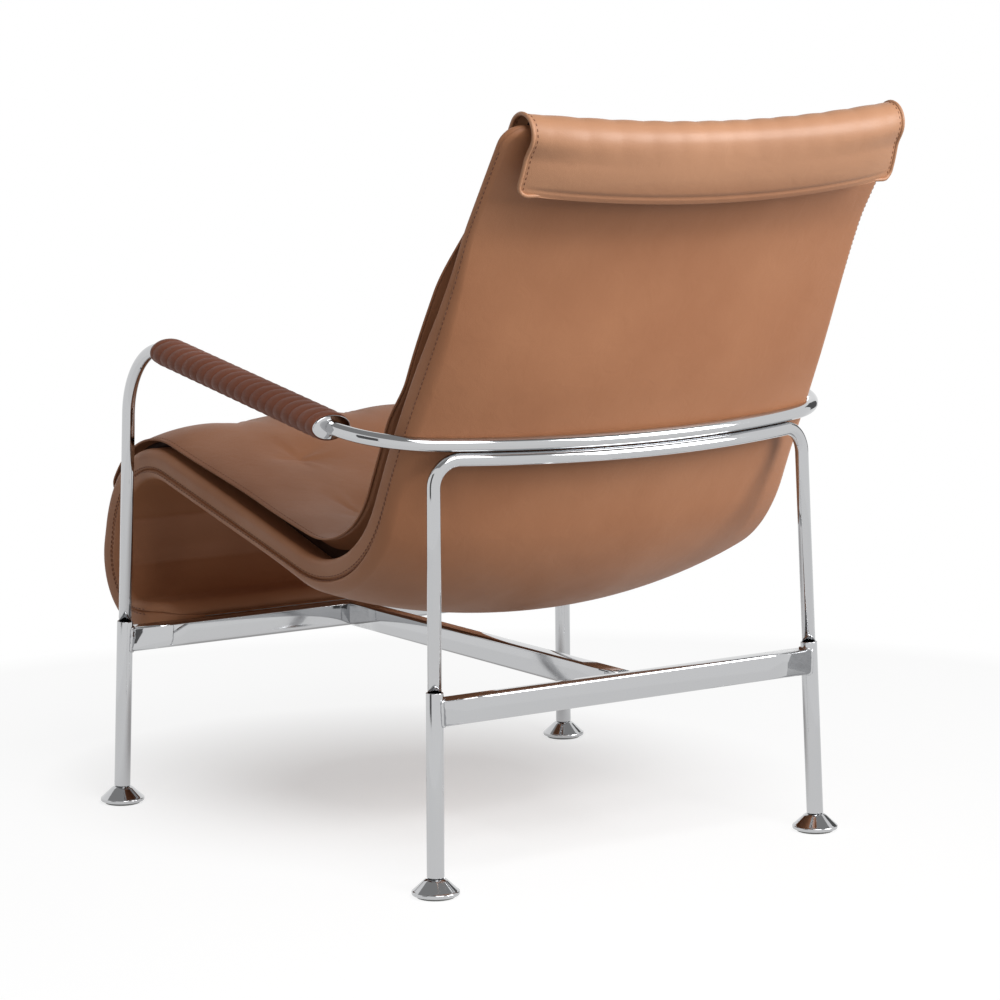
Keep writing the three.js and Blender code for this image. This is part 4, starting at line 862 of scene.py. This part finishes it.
# Both side seams of the shell are sewn down on each side; the front row ends under the back.
def seamStitches(side, way, first, last):
    run = np.arange(first, last, shell["stitchStep"])
    half = halfThick(run)
    seam = shell["seamShare"] * half
    offset = way * seam + np.minimum(shell["stitchAway"], (half - seam) * 0.4)
    sideOffset, sideX = wallCurve(run[:, None], way)[:2]
    x = np.array([np.interp(o, a, b) for o, a, b in zip(offset, sideOffset, sideX)]) + 0.25
    if way > 0:
        offset = offset - rearEdge(run)[1] / (shell["thick"] / 2) * np.minimum(1, bowAt(run) / shell["bow"]) * offset
    return shellPoints(run, side * x, way * offset), stationAt(run)[1], np.tile([side, 0.0, 0.0], (len(run), 1))


rows = [seamStitches(side, way, shell["stitchEnds"], last) for side in (1.0, -1.0)
        for way, last in ((1, sideLength - shell["stitchEnds"]), (-1, bucketEnd + shell["toBack"]))]
shellThread = stitches("shellStitches", *(np.concatenate(part) for part in zip(*rows)))
print("shell covers done")

pad = dict(
    width=550, headWidth=505, frontAngle=25, frontCorner=23, nose=12, tuck=32.0, rest=0.4, foldDepth=8,
    flapLength=64, flapSpread=16, flapFlare=7, flapRise=9, flapDroop=8, flapCorner=10, flapTip=0.2, tipThick=0.12,
    hem=1.6, hemPlace=0.88, edgeShare=0.45, topRise=6, topEdgeRise=7, narrowDrop=205, headDrop=76,
    gather=1.0, gatherStep=38, gatherLong=60, bendCrease=1.1, bendLong=75, tuftDepth=7, tuftRadius=42, pinch=4.0,
    pinchRadius=7, fold=1.5, foldRadius=36, foldStart=8, tuftSpacing=150, tuftMargin=110, tuftColumns=3,
    # The last value on the next line is the row up to which the pad's sides and underside take the painted-shade
    # leather.
    power=5, headPower=8.0, powerLong=200, across=120, rowStep=4.0, wallSteps=7, paintedShadeRows=330,
    piping=2.3, seamCord=1.5, pipingFrom=740, pipingGrow=60, stitchInset=5.0, stitchStep=6.2, stitchRowStep=5.0,
    heights=[  # place, edge seam over the shell, crown over the seam
        ("start", 5, 6), ("nose", 11, 12), ("knee", 11, 19), ("crest", 11, 20), ("seat", 18, 15), ("bucket", 24, 15),
        ("deep", 24, 14), ("eased", 11, 14), ("head", 8, 14), ("top", 4, 1)],
)
frontLean = math.atan2(seatY - curlY, shell["seatHeight"] - shell["curlHeight"])
kneeTurn = math.pi / 2 - frontLean + math.atan(shell["seatFall"])
padStart = kneeStart + (kneeEnd - kneeStart) * (math.radians(pad["frontAngle"]) - frontLean) / kneeTurn
foldRun = sideLength - pad["foldDepth"]
backRun = headStart - bucketEnd
padRuns = np.array([padStart, padStart + pad["nose"], (padStart + kneeEnd) / 2, kneeEnd, (kneeEnd + bucketMiddle) / 2,
                    bucketMiddle, bucketEnd + 0.23 * backRun, bucketEnd + 0.42 * backRun, headStart, foldRun])
tuftRows = int((headStart - padStart - pad["tuftMargin"]) // pad["tuftSpacing"])
topEdge, topCrown = pad["heights"][-1][1:]


# Edge and crown height at that run: smooth steps from one place of the list to the next.
def padHeights(run):
    edge = np.array([h[1] for h in pad["heights"]], float)
    crown = np.array([h[2] for h in pad["heights"]], float)
    i = np.clip(np.searchsorted(padRuns, run, side="right") - 1, 0, len(padRuns) - 2)
    t = smoothStep((run - padRuns[i]) / (padRuns[i + 1] - padRuns[i]))
    return between(edge[i], edge[i + 1], t), between(crown[i], crown[i + 1], t)


# Each tuft is a wide Gauss dip with a sharp pinch in it, and folds that run out from it as two sines of the angle.
def tuftDip(run, x):
    dip = np.zeros(np.broadcast(run, x).shape)
    for row in range(tuftRows + 1):
        for column in range(pad["tuftColumns"]):
            alongPad = run - (padStart + pad["tuftMargin"] + row * pad["tuftSpacing"])
            acrossPad = x - (column - (pad["tuftColumns"] - 1) / 2) * pad["tuftSpacing"]
            away, turn = np.hypot(alongPad, acrossPad), np.arctan2(acrossPad, alongPad)
            dip = dip + (pad["tuftDepth"] * np.exp(-(away / pad["tuftRadius"]) ** 2)
                         + pad["pinch"] * np.exp(-away / pad["pinchRadius"]))
            rays = np.sin(5 * turn + 1.7 * row + 2.3 * column) + 0.5 * np.sin(9 * turn + 2.9 * row - column)
            dip = dip + (pad["fold"] * rays * away / (away + pad["foldStart"])
                         * np.exp(-(away / pad["foldRadius"]) ** 2))
    return dip


# Creases across the bend of the seat, where the leather is pushed together, and puckers along the fold at the top.
# Both are sines of a place that other sines bend; the puckers use the sine's absolute value, for sharp valleys.
def creaseHeight(run, x, gather):
    inBend = np.exp(-((run - bucketMiddle) / pad["bendLong"]) ** 2) * (0.5 + 0.5 * np.sin(x / 52 + 1.3))
    creases = pad["bendCrease"] * np.sin(run / 4.1 + 1.5 * np.sin(x / 61) + 0.8 * np.sin(x / 23 + 2)) * inBend
    puckers = pad["gather"] * (np.abs(np.sin(np.pi * x / pad["gatherStep"] + 0.7 * np.sin(x / 70))) - 0.5)
    return creases + puckers * gather


# Stations of the whole pad: along the shell, in a fold about a line just under the shell's top, and down as a
# flap that hangs steeper than the shell behind it. The rise over the fold grows with the square of the angle and
# goes on into the flap with the same slope, so that fold and flap are one convex curve.
def padStations(step):
    run = np.concatenate([padStart + pad["nose"] * np.linspace(0, 1, 9)[:-1] ** 2,  # closer rings at the nose
                          np.linspace(padStart + pad["nose"], foldRun, int((foldRun - padStart) / step))])
    point, along, outward = stationAt(run)
    edge, crown = padHeights(run)
    start = np.clip((run - padStart) / pad["nose"], 0, 1)
    rising = 0.2 + 0.8 * np.sqrt(1 - (1 - start) ** 2)
    narrow = runUnderTop(pad["narrowDrop"])
    headward = smoothStep((run - narrow) / (runUnderTop(pad["headDrop"]) - narrow))
    width = between(pad["width"], pad["headWidth"], headward) / 2 - cornerDraw(run - padStart, pad["frontCorner"])
    rows = dict(run=run, point=point, way=-outward, base=halfThick(run) + pad["rest"], edge=edge * rising,
                crown=crown * rising, width=width, outward=outward, bow=bowAt(run), dips=np.ones_like(run),
                power=pad["power"] + 3 * smoothStep((run - kneeEnd) / pad["powerLong"]),
                gather=smoothStep(1 - (foldRun - run) / pad["gatherLong"]), droop=np.zeros_like(point))

    centre, foldAlong, foldOut = point[-1], along[-1], outward[-1]
    foldBow = float(bowAt(np.array([foldRun]))[0])
    inner = float(halfThick(np.array([foldRun]))[0]) + pad["rest"]
    turnEnd = math.pi - math.radians(pad["flapSpread"])

    # What fold and flap have in common, for that many stations.
    def beyond(count, rise, closing=1.0, hem=0.0):
        return dict(run=np.full(count, foldRun), outward=np.tile(foldOut, (count, 1)), bow=np.full(count, foldBow),
                    dips=np.zeros(count), power=np.full(count, pad["headPower"]),
                    edge=(topEdge + rise * pad["edgeShare"]) * closing,
                    crown=(topCrown + rise * (1 - pad["edgeShare"])) * closing - hem)

    angle = np.linspace(0, turnEnd, 24)[1:-1]
    count = len(angle)
    fold = dict(beyond(count, pad["flapRise"] * (angle / turnEnd) ** 2), point=np.tile(centre, (count, 1)),
                way=-foldOut * np.cos(angle)[:, None] + foldAlong * np.sin(angle)[:, None],
                base=np.full(count, inner), width=np.full(count, pad["headWidth"] / 2),
                gather=np.ones(count), droop=np.zeros((count, 3)))

    tip = pad["flapTip"]
    share = np.concatenate([np.linspace(0, 1 - tip, 20), 1 - tip * np.linspace(1, 0, 13)[1:] ** 2])
    count = len(share)
    flapOut = -foldOut * math.cos(turnEnd) + foldAlong * math.sin(turnEnd)
    flapDown = foldOut * math.sin(turnEnd) + foldAlong * math.cos(turnEnd)
    radius = inner + topEdge + topCrown + pad["flapRise"]
    slope = 2 * pad["flapRise"] / turnEnd / radius * pad["flapLength"]
    rise = pad["flapRise"] + slope * (share - share ** 2 / 0.9)
    closing = between(pad["tipThick"], 1, np.sqrt(np.maximum(1 - np.clip((share - (1 - tip)) / tip, 0, 1) ** 2, 0.0)))
    hem = pad["hem"] * np.exp(-((share - pad["hemPlace"]) * pad["flapLength"] / pad["hem"]) ** 2)
    ends = cornerDraw((1 - share) * pad["flapLength"], pad["flapCorner"])
    flap = dict(beyond(count, rise, closing, hem), point=centre + flapDown * (pad["flapLength"] * share)[:, None],
                way=np.tile(flapOut, (count, 1)), base=inner + 11 * (1 - closing),
                width=(pad["headWidth"] + pad["flapFlare"] * share) / 2 - ends,
                gather=1 - smoothStep(share * 2.5), droop=flapDown * (pad["flapDroop"] * share)[:, None])
    return {key: np.concatenate([rows[key], fold[key], flap[key]]) for key in rows}


# A ring of the pad: over the top x = width * s, height = edge + crown * (1 - |s|^power); below the seam the side
# draws in under it, as a hollow quarter ellipse, to where the pad rests on the shell.
def padRings():
    at = padStations(pad["rowStep"])
    across, steps = pad["across"], pad["wallSteps"]
    even = np.linspace(-1, 1, across)[None]
    s = 0.5 * even + 0.5 * np.sin(even * np.pi / 2)  # columns closer at the sides
    width, gather = at["width"][:, None], at["gather"][:, None]
    edge = (at["edge"] + pad["topEdgeRise"] * at["gather"])[:, None]

    def lay(x, height):
        out = (at["point"][:, None] + at["outward"][:, None] * (at["bow"][:, None] * bowShare(x))[..., None]
               + at["way"][:, None] * (at["base"][:, None] + height)[..., None]
               + at["droop"][:, None] * (1 - (2 * x / pad["headWidth"]) ** 2)[..., None])
        out[..., 0] = x
        return out

    x = width * s
    inField = 1 - np.abs(s) ** 8  # relief fades out at the seam
    dip = tuftDip(at["run"][:, None], x) * at["dips"][:, None] * inField
    relief = creaseHeight(at["run"][:, None], x, gather) * inField - pad["topRise"] * gather * (1 - s ** 2)
    top = lay(x, edge + at["crown"][:, None] * (1 - np.abs(s) ** at["power"][:, None]) - dip + relief)
    turn = np.linspace(0, np.pi / 2, steps + 1)[None, 1:]
    tuck = pad["tuck"] * np.clip(edge / 18, 0.3, 1)
    wallX, wallHeight = width - tuck * np.sin(turn), edge * np.cos(turn) ** 0.8
    under = lay((width - tuck) * s[:, -2:0:-1], np.zeros((len(width), across - 2)))
    seam = lay(width * np.array([[-1.0, 1.0]]), np.repeat(edge, 2, 1))
    ring = [top, lay(wallX, wallHeight), under, lay(-wallX[:, ::-1], wallHeight[:, ::-1])]
    total = 2 * (across - 1 + steps)
    facing = 2 * across + steps - 2 - np.arange(across - 1)  # points under those of the top
    upper = np.concatenate([np.full(steps + 1, 1), np.arange(1, across - 1), np.full(steps + 1, across - 2)])
    lower = np.concatenate([[0], np.arange(total - 1, total - 1 - steps, -1), facing[1:],
                            np.arange(across + steps - 1, across - 2, -1)])
    return np.concatenate(ring, 1), seam, (upper, lower)


padSkin, padSeam, padEnds = padRings()
loosePad = skin("loosePad", padSkin, padHide, across=padEnds)
# The pad's side walls and underside, up to a set row, get the dark leather: painted shade for the crevice under the
# pad.
loosePad.data.materials.append(padPaintedShade)
rowFaces = padSkin.shape[1]
faceRow, faceColumn = np.divmod(np.arange(len(loosePad.data.polygons)), rowFaces)
inPaintedShade = (faceColumn > pad["across"] + 2) & (faceColumn < rowFaces - 4) & (faceRow < pad["paintedShadeRows"])
loosePad.data.polygons.foreach_set("material_index", inPaintedShade.astype(np.int32))
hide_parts("loose_pad")
seamPath = np.concatenate([padSeam[:, 0], padSeam[-1:, 0] * 0.5 + padSeam[-1:, 1] * 0.5, padSeam[::-1, 1]])
cordPath = resample(seamPath, 4.0)
cordRadius = between(pad["seamCord"], pad["piping"],
                     smoothStep((cordPath[:, 2] - pad["pipingFrom"]) / pad["pipingGrow"]))
piping = skin("padPiping", tubeRings(cordPath, cordRadius, 10), padHide)


# One row of stitches runs just inside the seam of the pad, round the flap too.
def padStitches():
    at = padStations(pad["stitchRowStep"])
    x = at["width"] - pad["stitchInset"]
    share = x / at["width"]
    height = (at["edge"] + pad["topEdgeRise"] * at["gather"] + at["crown"] * (1 - share ** at["power"])
              - pad["topRise"] * at["gather"] * (1 - share ** 2))
    path = (at["point"] + at["outward"] * (at["bow"] * bowShare(x))[:, None]
            + at["way"] * (at["base"] + height)[:, None])
    path[:, 0] = x
    path, way = path[8:-8], at["way"][8:-8]  # none on the rounded ends
    length = lengthAlong(path)
    wanted = np.arange(0, length[-1], pad["stitchStep"])
    places = readOff(wanted, length, path)
    along = unit(np.gradient(places, axis=0))
    outward = unit(readOff(wanted, length, way) + np.array([0.55, 0, 0]))  # the edge leans to the side
    outward = unit(outward - along * np.einsum("ij,ij->i", outward, along)[:, None])
    return places, along, outward


padThread = stitches("padStitches", *(np.concatenate([part, part * mirror]) for part in padStitches()), 4.2, 0.62)
print("loose pad done")

# CAD nodes that are shown as they are get a material each.
finishes = {"leg_plug": zinc, "shell_carrier_angle": zinc, "carrier_screw": zinc, "back_stud": zinc,
            "shell_core": plyCoat}
for name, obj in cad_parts.items():
    for start, material in finishes.items():
        if name.startswith(start):
            obj.data.materials.clear()
            obj.data.materials.append(material)

view = dict(lens=128.7, sensor=36, distance=4357.9, target=(-19.3, 12.1, 389.2), roll=math.radians(-0.433),
            back=(0.5515, 0.8218, 0.1432))
back = unit(view["back"])
right = unit(np.cross([0, 0, 1.0], back))
up = np.cross(back, right)
rolledRight = right * math.cos(view["roll"]) + up * math.sin(view["roll"])
rolledUp = -right * math.sin(view["roll"]) + up * math.cos(view["roll"])


# Place and turn of an object whose own axes are these three directions.
def matrixFrom(place, *axes):
    return Matrix.Translation(place) @ Matrix([list(row) for row in np.stack(axes, 1)]).to_4x4()


cameraData = bpy.data.cameras.new("photoCamera")
cameraData.lens = view["lens"]
cameraData.sensor_width = view["sensor"]
cameraData.clip_end = 100
camera = linked("photoCamera", cameraData)
eye = placed(np.array(view["target"]) + back * view["distance"])[0]
camera.matrix_world = matrixFrom(eye.tolist(), rolledRight, rolledUp, back)
scene.camera = camera


def areaLight(name, place, target, size, power):
    data = bpy.data.lights.new(name, "AREA")
    data.shape = "RECTANGLE"
    data.size, data.size_y = size
    data.energy = power
    lamp = linked(name, data)
    away = unit(np.array(place, float) - np.array(target, float))
    side = unit(np.cross([0, 0, 1.0], away))
    lamp.matrix_world = matrixFrom(place, side, np.cross(away, side), away)
    return lamp


areaLight("overheadBox", (0.4, 2.2, 2.8), (0, 0, 0.4), (1.8, 1.8), 54)
keyBox = areaLight("keyBox", (-2.4, 3.1, 1.9), (0, 0.1, 0.5), (2.2, 2.2), 168)
sideBox = areaLight("sideBox", (2.8, 2.0, 1.2), (0, 0, 0.45), (0.7, 1.6), 9)
sideBox.visible_glossy = False

studio = dict(
    worldFill=0.18, floorFill=0.3, floorLift=0.42, floorTone=0.6, floorSeen=0.98, size=12,
    white=dict(centre=(0, 0), full=0.75, gone=1.3, most=1.0),  # further out all is white
    pool=dict(centre=(-0.03, -0.22), full=0.15, gone=0.5, most=0.8),  # the shadow stays deepest in here
)


# White for what the camera or a mirror sees, and a weaker fill for everything else.
def whiteForViewer(tree, fill, seen=1.0):
    path = tree.nodes.new("ShaderNodeLightPath")
    total = path.outputs["Is Camera Ray"]
    for label in ("Is Glossy Ray", "Is Transmission Ray"):
        total = combine(tree, "MAXIMUM", total, path.outputs[label])
    return mapRange(tree, total, 0, 1, fill, seen)


# Share of plain white on the floor: nothing within the full radius of a centre, the most beyond the other one.
def whiteBeyond(tree, place, centre, full, gone, most):
    moved = node(tree, "ShaderNodeMapping", in_Location=(-centre[0], -centre[1], 0))
    feed(tree, moved.inputs["Vector"], place.outputs["Object"])
    radius = node(tree, "ShaderNodeVectorMath", operation="LENGTH")
    feed(tree, radius.inputs[0], moved.outputs[0])
    return mapRange(tree, radius.outputs["Value"], full, gone, 0.0, most)


world = bpy.data.worlds.new("studioWorld")
scene.world = world
world.use_nodes = True
background = world.node_tree.nodes["Background"]
feed(world.node_tree, background.inputs["Strength"], whiteForViewer(world.node_tree, studio["worldFill"]))
background.inputs["Color"].default_value = (1, 1, 1, 1)

# The floor is a pale diffuse sheet that keeps the shadow near the chair and turns to plain white further out.
floorMesh = bpy.data.meshes.new("studioFloor")
reach = studio["size"]
floorMesh.from_pydata([(-reach, -reach, 0), (reach, -reach, 0), (reach, reach, 0), (-reach, reach, 0)], [],
                      [(0, 1, 2, 3)])
floor = linked("studioFloor", floorMesh)
floorMaterial, tree, shader = newMaterial("paleFloor")
path = node(tree, "ShaderNodeLightPath")
feed(tree, shader.inputs["Base Color"], mixColour(
    tree, path.outputs["Is Camera Ray"], (studio["floorTone"],) * 3 + (1,), (studio["floorSeen"],) * 3 + (1,)))
shader.inputs["Roughness"].default_value = 0.95
shader.inputs["Specular IOR Level"].default_value = 0.0
place = node(tree, "ShaderNodeTexCoord")
far = combine(tree, "MAXIMUM", whiteBeyond(tree, place, **studio["white"]), whiteBeyond(tree, place, **studio["pool"]))
white = node(tree, "ShaderNodeEmission")
feed(tree, white.inputs["Strength"], whiteForViewer(tree, studio["floorFill"]))
lift = node(tree, "ShaderNodeEmission")
feed(tree, lift.inputs["Strength"], whiteForViewer(tree, 0.0, studio["floorLift"]))
near = node(tree, "ShaderNodeAddShader")
blend = node(tree, "ShaderNodeMixShader")
for made, outputs in ((near, (shader.outputs[0], lift.outputs[0])),
                      (blend, (far, near.outputs[0], white.outputs[0]))):
    for socket, output in zip(made.inputs, outputs):
        feed(tree, socket, output)
feed(tree, tree.nodes["Material Output"].inputs["Surface"], blend.outputs[0])
floorMesh.materials.append(floorMaterial)
# A flag keeps the key light off the floor, so that the only shadow is the soft one under the chair.
flagged = bpy.data.collections.new("flaggedFromKey")
flagged.objects.link(floor)
keyBox.light_linking.receiver_collection = flagged
flagged.collection_objects[0].light_linking.link_state = "EXCLUDE"


# Grey cards that only mirrors see, so that the polished tubes are not white all round.
def greyCard(name, place, target, size, grey):
    place = np.array(place, float)
    away = unit(place - np.array(target, float))
    side = unit(np.cross([0.02, 0, 1.0], away))
    lift = np.cross(away, side)
    corners = [place + side * size[0] / 2 * a + lift * size[1] / 2 * b for a, b in ((-1, -1), (1, -1), (1, 1), (-1, 1))]
    mesh = bpy.data.meshes.new(name)
    mesh.from_pydata([tuple(c) for c in corners], [], [(0, 1, 2, 3)])
    card = linked(name, mesh)
    material, tree = newMaterial(name)[:2]
    glow = node(tree, "ShaderNodeEmission", in_Color=(grey, grey, grey, 1))
    feed(tree, tree.nodes["Material Output"].inputs["Surface"], glow.outputs[0])
    mesh.materials.append(material)
    card.visible_camera = card.visible_diffuse = card.visible_shadow = card.visible_transmission = False


greyCard("ceilingCard", (0, 0, 3.6), (0, 0, 0), (7, 7), 0.32)
greyCard("leftCard", (4.5, 0.5, 1.2), (0, 0, 0.6), (2.0, 3.2), 0.12)
greyCard("rightCard", (-4.5, -1.0, 1.2), (0, 0, 0.6), (2.0, 3.2), 0.12)

scene.view_settings.view_transform = "Standard"
print("camera, light and floor done")
